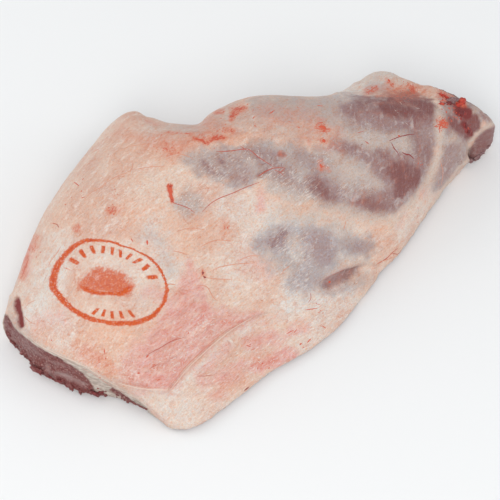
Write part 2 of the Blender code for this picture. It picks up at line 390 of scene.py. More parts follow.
# What shows through the skin or stains it, as patches that the photograph's pixels outline: grey fell over
# muscle, mauve and red-brown muscle, pale tendons and fat, the rosy membrane. Some of them are painted
# light:
# the grey along the top is partly painted shade where the leg turns away from the lamps, the dark in the
# slit and in the knee's hollow is partly painted shade, and the pale on the knee's fold, the slit's lip and
# the cut's rim is partly painted highlight. A patch has a half width in mm around its path, or is a closed
# shape, and its edge blurs over the soft width in mm either way.
Patch = namedtuple("Patch", "pixels half_width soft strength closed", defaults=(2.0, 1.0, False))


def area(pixels, soft, strength):
    """A patch that fills a closed shape."""
    return Patch(pixels, 0, soft, strength, True)


PATCHES = {
    "cool": (
        Patch(((171, 396), (188, 379), (214, 354), (250, 327)), 3, 3, 0.8),
        Patch(((148, 396), (170, 405), (182, 420)), 8, 6, 0.6),
        Patch(((345, 90), (362, 80), (385, 76)), 8, 4, 1.2),
        Patch(((275, 236), (322, 240), (345, 242)), 13, 6, 1.1),
        Patch(((320, 270), (300, 286)), 12, 6, 1.0), Patch(((286, 306), (304, 302), (322, 300)), 7, 5, 1.0),
        Patch(((60, 262), (45, 292), (36, 310)), 9, 6, 1.0), Patch(((345, 292), (330, 300)), 6, 4, 0.9),
        Patch(((400, 235), (415, 215), (430, 195), (440, 185)), 4, 4, 0.6),
        Patch(((60, 250), (48, 275), (40, 300), (60, 320)), 9, 8, 0.8),
        Patch(((100, 262), (128, 262), (150, 300)), 10, 8, 0.45),
        Patch(((150, 232), (165, 255), (172, 275)), 8, 7, 0.7),
        Patch(((235, 205), (262, 222), (245, 262)), 15, 10, 0.6), Patch(((66, 345), (60, 343)), 4, 4, 0.6),
        Patch(((185, 410), (215, 405)), 8, 6, 0.4), Patch(((345, 300), (325, 318), (300, 345)), 8, 6, 0.6),
    ),
    "peach": (
        Patch(((140, 215), (185, 240)), 14, 10, 0.7),
        Patch(((118, 140), (130, 120), (148, 118)), 11, 8, 0.2),
        Patch(((125, 160), (150, 145), (190, 142)), 12, 10, 0.5),
        Patch(((205, 122), (232, 134), (262, 130)), 11, 8, 0.8),
        Patch(((262, 132), (300, 138), (340, 139)), 4.5, 4, 0.95), Patch(((80, 200), (60, 230)), 8, 8, 0.5),
        Patch(((190, 225), (215, 235)), 12, 8, 0.5),
        Patch(((258, 186), (292, 200), (330, 211), (380, 222)), 6, 4, 0.7),
        Patch(((120, 335), (95, 345), (110, 365)), 12, 8, 1.0),
        Patch(((72, 340), (84, 350), (100, 366)), 6, 6, 0.5), Patch(((130, 205), (160, 220)), 12, 8, 0.45),
        Patch(((150, 330), (165, 315)), 10, 8, 0.6), Patch(((205, 402), (225, 394), (242, 384)), 7, 6, 0.5),
        Patch(((345, 85), (370, 82)), 5, 4, 0.5), Patch(((405, 228), (425, 205)), 4, 4, 0.3),
    ),
    "grey": (
        area(((183, 158), (192, 150), (205, 146), (222, 147), (240, 150), (258, 150), (264, 162),
            (262, 176), (250, 184), (236, 187), (220, 183), (206, 177), (194, 170)), 5, 0.85),
        area(((177, 193), (186, 189), (198, 194), (204, 205), (201, 214), (188, 218), (178, 212),
            (172, 203)), 4.5, 0.75),
        area(((250, 141), (275, 142), (300, 148), (330, 152), (350, 158), (346, 185), (352, 205),
            (386, 212), (380, 220), (340, 212), (312, 203), (288, 192), (262, 180), (248, 172)), 4, 0.95),
        # The grey along the top edge: thin fell, with painted shade where the surface turns away from the
        # lamps.
        area(((248, 99), (270, 96), (300, 96), (345, 96), (352, 115), (345, 128), (310, 125), (280, 121),
            (255, 118)), 4, 0.75),
        area(((258, 238), (268, 225), (290, 220), (318, 221), (337, 231), (346, 250), (342, 266),
            (325, 283), (314, 290), (299, 291), (286, 285), (282, 274), (267, 262), (257, 252)), 6, 0.95),
        area(((338, 238), (356, 234), (370, 237), (373, 247), (366, 257), (350, 262), (338, 258)), 6, 0.9),
        area(((338, 286), (360, 272), (372, 271), (368, 284), (352, 296), (338, 298), (330, 292)), 4, 0.6),
        Patch(((275, 186), (298, 194)), 5, 4, 1.0), Patch(((316, 150), (345, 151)), 5, 4, 0.8),
        area(((345, 100), (375, 95), (412, 97), (436, 107), (437, 140), (428, 168), (420, 190), (400, 211),
            (386, 217), (362, 214), (346, 200), (338, 170), (336, 145), (338, 118)), 3, 0.9),
        area(((441, 130), (456, 127), (468, 135), (466, 158), (452, 176), (440, 190), (432, 192),
            (434, 178), (439, 160)), 2.5, 0.9),
        area(((438, 92), (452, 97), (470, 104), (484, 114), (478, 128), (466, 140), (452, 140), (442, 128),
            (440, 108)), 2, 0.9), Patch(((142, 233), (152, 236), (160, 243)), 4, 5, 0.35),
        # On the next line, the second patch is more painted shade along the top edge.
        Patch(((168, 258), (172, 270)), 4, 5, 0.3), Patch(((262, 101), (290, 100)), 4, 3, 0.6),
        # Painted shade: the top zone is darkened towards grey where the surface turns away from the lamps.
        Patch(((178, 127), (205, 124), (235, 118), (262, 122), (300, 130), (345, 136)), 8, 6, 0.42),
        Patch(((150, 132), (180, 134)), 6, 6, 0.3), Patch(((372, 87), (384, 84)), 4, 3, 0.7),
    ),
    "mauve": (
        area(((338, 105), (352, 98), (375, 97), (400, 98), (425, 101), (436, 108), (436, 122), (430, 131),
            (412, 132), (392, 133), (372, 129), (355, 123), (344, 114)), 4, 1.0),
        area(((412, 126), (430, 128), (434, 145), (430, 165), (424, 182), (416, 192), (411, 182),
            (413, 160), (411, 142)), 4, 0.85),
        area(((376, 151), (392, 150), (410, 152), (424, 158), (423, 180), (413, 195), (401, 206),
            (389, 214), (372, 214), (356, 209), (348, 200), (354, 190), (366, 187), (380, 190), (387, 182),
            (382, 166)), 3.5, 0.95),
        Patch(((336, 144), (350, 149), (366, 157), (380, 168), (390, 180)), 4.2, 3, 1.2),
        Patch(((226, 158), (242, 172)), 7, 6, 0.5), Patch(((254, 154), (272, 162), (286, 174)), 5, 5, 0.75),
        Patch(((298, 156), (318, 164)), 6, 5, 0.5), Patch(((345, 112), (356, 122)), 5, 4, 0.7),
        area(((308, 178), (319, 174), (330, 180), (341, 188), (344, 198), (334, 205), (320, 203),
            (311, 194), (306, 187)), 3.5, 0.95), Patch(((336, 186), (348, 192), (356, 202)), 3, 4, 0.5),
        area(((258, 165), (280, 164), (298, 172), (308, 186), (298, 196), (280, 187), (264, 178)), 5, 0.35),
        area(((264, 240), (271, 230), (284, 226), (292, 233), (286, 246), (272, 252)), 5, 0.8),
        area(((301, 233), (314, 226), (330, 231), (336, 246), (331, 262), (318, 269), (307, 262),
            (303, 248)), 5, 0.7),
        area(((292, 272), (305, 264), (319, 272), (323, 284), (312, 293), (300, 293), (289, 285)), 5, 0.35),
        # The knee's hollow under its fold: muscle seen in the fold, and painted shade of the hollow.
        area(((322, 286), (331, 275), (346, 268), (358, 265), (362, 269), (352, 279), (340, 286),
            (328, 290)), 2.2, 0.85), Patch(((320, 292), (334, 292), (348, 286)), 2.5, 3, 0.4),
        area(((444, 147), (455, 142), (464, 150), (459, 165), (446, 181), (436, 190), (436, 172),
            (440, 158)), 3.5, 0.75),
        area(((486, 127.5), (493, 126), (500, 131), (498, 142), (488, 154), (480, 166), (467, 168),
            (467, 158), (469.5, 149), (476, 138)), 0.9, 1.2),
        Patch(((456, 126), (462, 136)), 3.5, 2.5, 0.7), Patch(((204, 163), (212, 169)), 2, 2, 1.0),
        Patch(((220, 161), (225, 162)), 2, 1.5, 1.1), Patch(((231, 177), (245, 180)), 2, 2.5, 0.75),
        Patch(((214, 173), (224, 175)), 1, 1, 1.1), Patch(((226, 151), (246, 150)), 1.2, 2.0, 0.6),
        Patch(((259, 163), (268, 171)), 3, 3, 0.6), Patch(((268, 154), (284, 155)), 2, 2, 0.8),
        Patch(((275, 174), (286, 178)), 3, 2, 0.6), Patch(((290, 180), (298, 186)), 3, 3, 0.4),
        Patch(((10, 325), (18, 338), (30, 350)), 5, 4, 0.6),
        area(((440, 100), (452, 99), (462, 108), (468, 120), (466, 132), (454, 128), (446, 114)), 2.5,
            0.65), Patch(((449, 129), (449, 136)), 2, 1.5, 0.7),
        Patch(((472, 106), (482, 112), (490, 120)), 2.8, 1.5, 0.85),
        Patch(((350, 240), (362, 245)), 6, 4, 0.5),
    ),
    "lean": (
        area(((388, 168), (396, 163), (408, 162), (418, 168), (418, 182), (410, 194), (400, 201),
            (393, 195), (393, 183)), 3.5, 1.1), Patch(((378, 152), (386, 160), (392, 170)), 3.5, 3, 0.6),
        Patch(((366, 198), (372, 206), (380, 211)), 4, 3.5, 0.65),
        Patch(((358, 188), (362, 200)), 3, 3, 0.35), Patch(((385, 196), (390, 208)), 3, 3, 0.35),
        Patch(((313, 182), (320, 190), (328, 200)), 4, 3.5, 0.7),
        Patch(((386, 103), (402, 100), (418, 103), (430, 109)), 4.5, 3.5, 1.3),
        Patch(((362, 102), (376, 101)), 3, 3, 0.7), Patch(((412, 114), (428, 118)), 3, 4, 0.5),
        Patch(((428, 148), (422, 172)), 3.5, 3.5, 0.35), Patch(((415, 136), (418, 146)), 3, 3, 0.4),
        Patch(((352, 111), (366, 106), (380, 112)), 3, 3, 0.4),
        Patch(((346, 145), (358, 147)), 1.5, 1.5, 0.5),
        Patch(((270, 246), (277, 238), (284, 233)), 1.5, 2.5, 0.5),
        # Darker lean along the knee's hollow, partly painted shade of the hollow.
        Patch(((330, 284), (343, 276), (354, 269)), 2.2, 2.2, 0.4),
        Patch(((488, 136), (480, 148), (473, 160)), 6, 2, 0.75),
        Patch(((474, 118), (475, 126)), 3.5, 1.5, 1.2), Patch(((458, 106), (462, 110)), 3.0, 2, 0.6),
        Patch(((461, 108), (467, 117), (465, 130)), 4, 2.5, 1.25),
        Patch(((452, 121), (460, 128), (466, 135)), 3.2, 2.5, 1.0),
        Patch(((386, 107), (402, 110), (420, 113)), 4, 3.5, 1.1),
        Patch(((450, 101), (456, 101)), 2.5, 1, 0.9), Patch(((350, 249), (362, 247)), 5, 4, 0.16),
        Patch(((208, 164), (222, 168), (240, 174)), 7, 5, 0.2), Patch(((222, 162),), 1.5, 1.2, 0.7),
        Patch(((279, 154), (283, 155)), 1.2, 1, 0.7), Patch(((258, 176), (266, 171)), 1.2, 1, 0.7),
    ),
    "rosy": (
        area(((184, 268), (192, 262), (198, 272), (203, 290), (212, 306), (240, 312), (262, 314),
            (236, 330), (214, 344), (181, 378), (168, 391), (138, 389), (118, 376), (124, 354), (150, 332),
            (168, 304)), 4, 0.72), Patch(((146, 383), (160, 380), (174, 374)), 5, 3, 0.95),
        Patch(((200, 375), (212, 362), (226, 348)), 3, 4, 0.5),
        Patch(((202, 382), (216, 379), (234, 375)), 3, 3, 0.8),
        Patch(((222, 378), (240, 368), (262, 358)), 5, 4, 0.6),
        Patch(((252, 368), (270, 362), (290, 354)), 4, 3, 1.0),
        Patch(((248, 342), (264, 336), (280, 338)), 5, 4, 0.6),
        Patch(((292, 332), (302, 326)), 3.5, 3, 0.6), Patch(((262, 322), (275, 320)), 4, 4, 0.25),
        Patch(((214, 396), (222, 392)), 3, 3, 0.3), Patch(((84, 356), (96, 362)), 4, 4, 0.35),
        Patch(((262, 188), (261, 208)), 2.5, 2.5, 0.5), Patch(((26, 245), (24, 268)), 4, 3, 0.7),
        Patch(((424, 186), (421, 194)), 1.5, 2, 0.8), Patch(((405, 212), (398, 226)), 2, 3, 0.35),
        Patch(((150, 292), (163, 296)), 4, 4, 0.6), Patch(((262, 268), (248, 262)), 7, 6, 0.3),
        Patch(((60, 318), (42, 326)), 6, 5, 0.35),
    ),
    "flushed": (
        Patch(((60, 338), (85, 348), (110, 364), (126, 376)), 7, 7, 0.8),
        Patch(((88, 354), (100, 361), (114, 369)), 5, 5, 1.1),
        Patch(((160, 142), (200, 134), (240, 126), (285, 128)), 9, 8, 0.55),
        Patch(((195, 139), (230, 136)), 4, 4, 0.9), Patch(((378, 88), (395, 86), (425, 92)), 7, 4, 0.9),
        Patch(((300, 138), (330, 138)), 8, 5, 0.6),
    ),
    "pale": (
        area(((308, 133), (345, 131), (372, 133), (386, 139), (384, 148), (370, 149), (354, 143),
            (335, 142), (316, 146)), 5, 0.42),
        area(((334, 156), (348, 158), (362, 165), (368, 172), (362, 178), (352, 180), (344, 178),
            (337, 170)), 6, 0.5),
        area(((392, 137), (403, 136), (410, 144), (406, 151), (396, 149)), 4, 0.5),
        Patch(((362, 190), (376, 186)), 3, 4, 0.35),
        Patch(((437, 110), (439, 128), (441, 142), (437, 158), (429, 177), (419, 193), (398, 219)), 1.6,
            2.5, 1.0),
        Patch(((492, 122), (483, 128), (475, 135), (470, 142), (467.5, 151), (464, 160), (453, 176),
            (436, 202)), 1.0, 1.2, 0.9), Patch(((473, 110.5), (479, 109)), 2.4, 1.5, 0.5),
        Patch(((446, 139), (453, 138)), 2.5, 2, 0.6),
        Patch(((262, 184), (292, 197), (325, 208), (360, 217), (392, 220)), 4, 3, 0.6),
        Patch(((350, 227), (320, 218), (285, 212)), 7, 6, 0.6),
        Patch(((112, 379), (125, 386), (146, 390), (167, 393)), 1.5, 1.5, 0.4),
        Patch(((350, 80), (375, 75), (400, 83)), 5, 3, 0.6),
        # The knee's fold crest: pale membrane, partly a painted highlight where the fold catches the light.
        Patch(((350, 266), (362, 263), (375, 265)), 0.9, 0.8, 1.0),
        Patch(((294, 240), (298, 256)), 3.5, 3, 0.6),
        # The slit's rolled lip: pale pink, partly a painted highlight along its curl.
        Patch(((12, 300), (11, 312), (15, 324), (24, 333)), 1.6, 1, 0.8),
        # A pale line along the cut's rim: the fat's pale edge, partly a painted highlight.
        Patch(((36, 344), (60, 355), (78, 364), (100, 377), (125, 390)), 1.2, 1, 0.9),
    ),
    "stain": (
        Patch(((92, 354), (104, 362), (112, 368)), 4, 4, 0.34), Patch(((258, 362), (272, 358)), 3, 3, 0.35),
        Patch(((212, 396), (232, 386), (246, 380)), 4, 4, 0.2), Patch(((118, 128), (140, 122)), 4, 4, 0.15),
        Patch(((150, 140), (172, 144), (190, 142)), 5, 4, 0.35),
        Patch(((205, 120), (215, 128), (205, 135)), 4, 4, 0.35),
        Patch(((264, 112), (284, 118), (300, 114)), 5, 5, 0.28),
        Patch(((300, 118), (318, 134), (330, 140)), 7, 5, 0.3),
        Patch(((280, 153), (284, 156)), 1.5, 1.5, 0.5), Patch(((234, 112), (243, 108)), 3.0, 1.5, 0.7),
        Patch(((233, 118),), 1.8, 1, 0.5),
        Patch(((193, 138.5), (201, 140.5), (208, 143), (214, 139), (224, 137)), 1.2, 0.9, 1.0),
        Patch(((212, 138), (225, 137)), 2.0, 1.5, 0.6), Patch(((225, 130), (233, 131)), 2.2, 1.5, 0.6),
        Patch(((214, 112), (223, 112)), 1.3, 1, 0.8),
        Patch(((232, 118), (236, 111), (241, 109)), 2.0, 1.2, 0.9),
        Patch(((164, 144), (170, 149), (177, 150)), 3.5, 3, 0.6),
        Patch(((169, 132), (190, 133)), 1.5, 1.5, 0.5), Patch(((128, 137), (142, 138)), 2.5, 2, 0.3),
        Patch(((148, 117), (154, 121)), 2.5, 2, 0.45), Patch(((318, 126), (326, 130)), 2.4, 1.5, 0.75),
        Patch(((321, 141), (326, 142)), 2.2, 1.2, 0.6), Patch(((320, 163), (322, 168)), 1.6, 1.2, 0.6),
        Patch(((316, 119), (324, 120)), 1.5, 1.2, 0.4), Patch(((308, 142), (311, 144)), 1.5, 1.2, 0.4),
        Patch(((327, 168), (329, 170)), 1.2, 1.2, 0.4), Patch(((367, 92), (376, 89)), 2.4, 1.5, 0.6),
        Patch(((387, 80), (392, 86)), 1.6, 1.5, 0.6),
        Patch(((390, 90), (405, 93), (418, 92)), 4.0, 3.5, 0.5),
        Patch(((410, 85), (414, 91)), 1.8, 1.5, 0.8), Patch(((395, 93), (402, 95)), 1.8, 1.5, 0.6),
        Patch(((414, 86), (424, 92)), 3.0, 3, 0.4), Patch(((376, 95.5), (405, 96.5)), 0.8, 1, 0.6),
        Patch(((440, 121), (445, 124)), 2.0, 2.0, 0.5), Patch(((440, 94), (450, 98)), 3, 2, 0.6),
        Patch(((461, 100), (462, 106)), 3.0, 1, 1.0), Patch(((110, 211), (116, 210)), 2.4, 1.5, 0.6),
        Patch(((77, 229),), 2.2, 1.5, 0.7), Patch(((36, 238), (33, 250)), 2.5, 2, 0.6),
        Patch(((28, 256), (22, 278)), 1.8, 1.5, 0.6),
        Patch(((170, 186), (170.5, 192), (172, 201)), 1.6, 0.8, 1.4),
        Patch(((225, 223), (226, 232)), 2.5, 2, 0.4), Patch(((203, 272), (205, 277)), 1.6, 1, 0.6),
    ),
    "dark": (
        Patch(((28, 362), (38, 371), (50, 376), (62, 381), (75, 386), (90, 393), (100, 394)), 1.5, 2.5,
            0.55),
        # The slit: dark red, with painted shade of its narrow opening, darkest along its core.
        area(((15.6, 298), (18.2, 298.5), (20.8, 304), (21.2, 312), (22.0, 318), (22.2, 326), (20.8, 326),
            (18.4, 318), (15.8, 308)), 1.4, 1.25),
        Patch(((17.6, 301), (18.6, 307), (19.4, 313)), 0.6, 0.8, 0.8),
        Patch(((459, 112), (467, 114)), 3.0, 1.5, 1.4), Patch(((464, 124), (470, 133)), 1.8, 1.2, 1.2),
        Patch(((35, 372), (41, 373)), 2.5, 1.5, 0.8), Patch(((55, 380), (63, 382)), 2.5, 1.5, 0.8),
        Patch(((86, 392), (100, 396)), 2, 1.5, 0.8), Patch(((9, 325), (11, 327)), 1.5, 1, 0.7),
    ),
    "fibre": (
        Patch(((180, 200), (200, 195)), 8, 3, 0.7), Patch(((275, 178), (295, 185), (306, 196)), 9, 4, 0.9),
        Patch(((288, 238), (300, 262), (290, 285)), 10, 5, 0.9), Patch(((203, 325), (190, 345)), 5, 3, 0.9),
        Patch(((165, 367), (176, 360)), 4, 3, 0.7),
        Patch(((190, 408), (230, 380), (290, 340), (330, 312)), 15, 8, 0.7),
        Patch(((40, 334), (80, 346), (120, 372)), 13, 8, 0.7), Patch(((205, 160), (235, 172)), 10, 5, 0.6),
        Patch(((120, 205), (165, 180)), 16, 8, 0.5), Patch(((350, 290), (335, 296)), 5, 3, 0.7),
        Patch(((365, 185), (345, 190)), 5, 3, 0.6), Patch(((400, 140), (412, 150)), 5, 3, 0.4),
        Patch(((270, 290), (240, 305)), 12, 6, 0.4),
    ),
}
# These folds, the flap's edge and the lines by the rim are darkened to a reddish tone: their own reddish
# colour, with painted shade where the skin folds in.
CREASE_HALF_WIDTH = 0.95
CREASE_LINES = (
    *CREASES, FLAP_EDGE_PIXELS, KNEE_FOLD_PIXELS, ((96, 371), (112, 379), (130, 386), (150, 389)),
    ((104, 376), (122, 388), (140, 398), (156, 414)), ((152, 391), (178, 395), (205, 392)),
    ((26, 330), (32, 335), (44, 341)), ((14, 318), (18, 327), (27, 333)),
    ((178, 318), (192, 302), (206, 296)), ((150, 340), (170, 322), (190, 312)),
    ((206, 330), (222, 318), (240, 312)), ((330, 286), (332, 280)), ((340, 283), (343, 275)),
    ((350, 279), (353, 271)), ((360, 275), (362, 268)), ((362, 205), (366, 188)), ((376, 212), (380, 196)),
    ((352, 205), (355, 190)), ((390, 160), (396, 182)), ((402, 160), (406, 178)), ((318, 180), (322, 196)),
    ((374, 104), (400, 103), (418, 108)), ((360, 112), (380, 114), (402, 118)),
    ((414, 128), (420, 146), (417, 168)),
)


def patch_mask(patches):
    """How strongly a set of patches shows at each place of the skin, with uneven edges."""
    mask = np.zeros(len(places))
    seen = np.column_stack([photo_x, photo_y])
    for patch in patches:
        path = np.array(patch.pixels)
        reach = (patch.half_width + 2 * patch.soft + 3) * MM / PIXEL
        low = path.min(axis=0) - reach
        high = path.max(axis=0) + reach
        near = (facing > 0) & (seen > low).all(axis=1) & (seen < high).all(axis=1)
        gap = gap_to(patch.pixels, photo_x[near], photo_y[near], patch.closed) - patch.half_width
        gap += (0.75 * warp[near] + 0.35 * fine_warp[near]) * patch.soft
        mask[near] = np.maximum(mask[near], patch.strength * smooth_step(patch.soft, -patch.soft, gap))
    return mask


# The sides that the photograph doesn't show are thick fat, with windows of muscle under thin fell here and
# there, and a flatter underside that is mostly lean with seams of fat.
WINDOW_SIZE = 45
UNDER_WINDOW_SIZE = 38
hidden = smooth_step(0.25, -0.05, facing)
below = smooth_step(-0.35, -0.75, normals[:, 2])
window = smooth_step(0.15, 0.55, rough_waves(places, WINDOW_SIZE, 31.0)) * hidden
under_window = smooth_step(-0.25, 0.15, rough_waves(places, UNDER_WINDOW_SIZE, 17.0)) * below
masks = {name: patch_mask(patches) * (1 - hidden) for name, patches in PATCHES.items()}
masks["peach"] += 0.5 * hidden * (warp > 0.2)
masks["grey"] = np.maximum(masks["grey"], 0.8 * window)
masks["mauve"] = np.maximum(masks["mauve"], under_window)
masks["lean"] = np.maximum(masks["lean"], 0.7 * under_window)
creases = np.max([bump_along(line, CREASE_HALF_WIDTH) for line in CREASE_LINES], axis=0)
masks["crease"] = creases * (1 - hidden)
masks |= {"cut": cut, "cut_lean": cut_lean, "cut_seam": cut_seam}
for name, mask in masks.items():
    attribute = skin_mesh.attributes.new(name, "FLOAT", "POINT")
    attribute.data.foreach_set("value", np.asarray(mask, "f"))


# The inspector's mark is a plain oval ring of food ink, rolled on unevenly, with two rows of short strokes
# inside it and a blot in the middle. Its ring is kept as a circle of radius 1 in a pair of coordinates.
RING_MIDDLE = (110.0, 283.0)
RING_PIXELS = (
    (53, 287), (58, 265), (70, 250), (85, 241), (103, 241), (122, 246), (138, 252), (155, 263), (164, 277),
    (167, 290), (164, 302), (154, 315), (138, 322), (123, 323), (103, 321), (83, 315), (67, 304), (57, 293),
)
MARK_REACH = 1.6
FAR_OFF = (9.0, 9.0, 0.0)

ring = np.array(RING_PIXELS) - RING_MIDDLE
ring_turn = np.arctan2(-ring[:, 1], ring[:, 0])
order = np.argsort(ring_turn)
turn = np.arctan2(RING_MIDDLE[1] - photo_y, photo_x - RING_MIDDLE[0])
ring_radius = np.interp(turn, ring_turn[order], np.hypot(*ring.T)[order], period=2 * math.pi)
radius = np.hypot(photo_x - RING_MIDDLE[0], photo_y - RING_MIDDLE[1]) / ring_radius
mark_place = np.column_stack([radius * np.cos(turn), radius * np.sin(turn), np.zeros(len(turn))])
mark_place[(facing < 0.1) | (radius > MARK_REACH)] = FAR_OFF
mark_attribute = skin_mesh.attributes.new("mark_place", "FLOAT_VECTOR", "POINT")
mark_attribute.data.foreach_set("vector", mark_place.astype("f").ravel())


# The skin's finish. Fat is cream with a rosy cast, mottled, drawn into fine white threads and crossed by
# hair-fine vessels. Each thing that shows through or lies on it is laid over the last, broken up finely.


def tone(red, green, blue):
    """A colour as a paint chart gives it, 0 to 255, as the shader takes it."""
    parts = [c / 255 for c in (red, green, blue)]
    return tuple(c / 12.92 if c < 0.04045 else ((c + 0.055) / 1.055) ** 2.4 for c in parts) + (1.0,)


FAT_CREAM = tone(225, 199, 181)
FAT_ROSE = tone(214, 172, 152)
FAT_PEACH = tone(226, 184, 160)
FAT_WHITE = tone(238, 229, 220)
FAT_COOL = tone(222, 212, 203)
THIN_FELL_AND_SHADE = tone(180, 165, 160)
MAUVE_MUSCLE = tone(158, 129, 127)
RED_MUSCLE = tone(146, 100, 98)
MUSCLE_VEIL = tone(188, 170, 166)
CREASE_SHADE = tone(188, 124, 106)
LEAN_MUSCLE = tone(130, 79, 76)
ROSY_MEMBRANE = tone(219, 158, 149)
MEMBRANE_WHITE = tone(236, 214, 205)
FLUSH = tone(208, 140, 114)
MEMBRANE_RED = tone(212, 122, 104)
PALE_BAND = tone(208, 189, 176)
BLOOD_STAIN = tone(214, 116, 82)
DEEP_STAIN = tone(198, 70, 44)
VESSEL = tone(200, 124, 98)
DARK_BLOOD_AND_SLIT_SHADE = tone(126, 40, 37)
WISP = tone(206, 194, 189)
WISP_SHADE = tone(150, 118, 110)
WARM_TINT = (1.0, 0.74, 0.60, 1.0)
DEEP_TINT = (0.91, 0.86, 0.83, 1.0)
LIGHT_TINT = (1.05, 1.05, 1.05, 1.0)
BLUISH_TINT = (1.0, 1.07, 1.13, 1.0)
COOL_TINT = (0.93, 1.0, 1.10, 1.0)
CUT_FAT = tone(190, 170, 157)
CUT_STREAK = tone(222, 208, 196)
CUT_LEAN = tone(132, 62, 56)
CUT_SEAM = tone(182, 150, 146)
CUT_FLECK_AND_GLINT = tone(196, 156, 150)
CUT_DARK = tone(96, 34, 34)
INK = tone(210, 84, 0)
INK_DARK = tone(196, 58, 0)


def add_node(tree, kind, **settings):
    """A new node of this kind with these settings."""
    node = tree.nodes.new(kind)
    for name, value in settings.items():
        setattr(node, name, value)
    return node


class Value:
    """A number, place or colour that a material's nodes work out. Sums of values are written as sums."""

    def __init__(self, socket):
        self.socket = socket

    def __add__(self, other):
        return maths("ADD", self, other)

    def __sub__(self, other):
        return maths("SUBTRACT", self, other)

    def __rsub__(self, other):
        return maths("SUBTRACT", other, self)

    def __mul__(self, other):
        return maths("MULTIPLY", self, other)

    def __truediv__(self, other):
        return maths("DIVIDE", self, other)

    def __abs__(self):
        return maths("ABSOLUTE", self)

    __radd__ = __add__
    __rmul__ = __mul__


def feed(socket, value):
    """Links a node's value into a socket, or sets a constant there."""
    if isinstance(value, Value):
        socket.id_data.links.new(value.socket, socket)
    else:
        socket.default_value = value


def node_among(values, kind, **settings):
    """A new node in the tree that the first node's value among these belongs to."""
    tree = next(value.socket.id_data for value in values if isinstance(value, Value))
    return add_node(tree, kind, **settings)


def maths(operation, *values):
    """A Math node's result."""
    node = node_among(values, "ShaderNodeMath", operation=operation)
    for socket, value in zip(node.inputs, values):
        feed(socket, value)
    return Value(node.outputs[0])


def blend(share, under, over, blend_type="MIX"):
    """The colour under, covered by the colour over as far as share says."""
    node = node_among((share, under, over), "ShaderNodeMix", data_type="RGBA", blend_type=blend_type)
    feed(node.inputs["Factor"], share)
    feed(node.inputs[6], under)
    feed(node.inputs[7], over)
    return Value(node.outputs[2])


def tinted(share, colour, tint):
    """The colour multiplied by a tint as far as share says."""
    return blend(share, colour, tint, "MULTIPLY")


def ramp(value, low, high):
    """value brought from low..high to 0..1, smoothly."""
    node = node_among((value,), "ShaderNodeMapRange", interpolation_type="SMOOTHSTEP")
    feed(node.inputs["Value"], value)
    feed(node.inputs["From Min"], low)
    feed(node.inputs["From Max"], high)
    return Value(node.outputs[0])


def speckle(place, size, stretch=(1, 1, 1), turn=0.0, detail=2.0, roughness=0.55, twist=0.0):
    """Noise with features of this size in mm, stretched along axes turned about the vertical."""
    turned = node_among((place,), "ShaderNodeMapping", vector_type="POINT")
    feed(turned.inputs["Vector"], place)
    feed(turned.inputs["Rotation"], (0, 0, turn))
    scaled = node_among((place,), "ShaderNodeMapping", vector_type="POINT")
    feed(scaled.inputs["Vector"], Value(turned.outputs[0]))
    feed(scaled.inputs["Scale"], [1 / (size * MM * s) for s in stretch])
    node = node_among((place,), "ShaderNodeTexNoise", noise_dimensions="3D")
    feed(node.inputs["Vector"], Value(scaled.outputs[0]))
    feed(node.inputs["Scale"], 1.0)
    feed(node.inputs["Detail"], detail)
    feed(node.inputs["Roughness"], roughness)
    feed(node.inputs["Distortion"], twist)
    return Value(node.outputs["Fac"])


def lines_of(value, width):
    """Thin lines where a noise crosses its middle, 1 on the line and 0 beyond this width."""
    return ramp(abs(value - 0.5), width, 0.0)


def bumped(shader, height, distance):
    """Lifts the surface's grain by height times this distance."""
    bump = add_node(shader.id_data, "ShaderNodeBump")
    feed(bump.inputs["Strength"], 0.8)
    feed(bump.inputs["Distance"], distance)
    feed(bump.inputs["Height"], height)
    feed(shader.inputs["Normal"], Value(bump.outputs["Normal"]))


def object_place(tree):
    """The place on the object, in metres."""
    return Value(add_node(tree, "ShaderNodeTexCoord").outputs["Object"])


def broken_edge_group():
    """A mask broken up by a pattern, most where it is neither full nor empty, as fat gives way to muscle."""
    group = bpy.data.node_groups.new("broken_edge", "ShaderNodeTree")
    for name in ("Mask", "Pattern", "Breaking"):
        group.interface.new_socket(name, in_out="INPUT", socket_type="NodeSocketFloat")
    group.interface.new_socket("Mask", in_out="OUTPUT", socket_type="NodeSocketFloat")
    start = add_node(group, "NodeGroupInput")
    end = add_node(group, "NodeGroupOutput")
    mask, pattern, breaking = (Value(start.outputs[name]) for name in ("Mask", "Pattern", "Breaking"))
    push = (pattern - 0.5) * breaking
    gate = maths("MINIMUM", mask * 2.0, 1.0)
    node = add_node(group, "ShaderNodeClamp")
    feed(node.inputs["Value"], mask + push * gate)
    feed(end.inputs["Mask"], Value(node.outputs[0]))
    return group


BROKEN_EDGE = broken_edge_group()


def broken(mask, pattern, breaking):
    """The mask with its edge broken up by the pattern."""
    node = node_among((mask,), "ShaderNodeGroup", node_tree=BROKEN_EDGE)
    feed(node.inputs["Mask"], mask)
    feed(node.inputs["Pattern"], pattern)
    feed(node.inputs["Breaking"], breaking)
    return Value(node.outputs["Mask"])


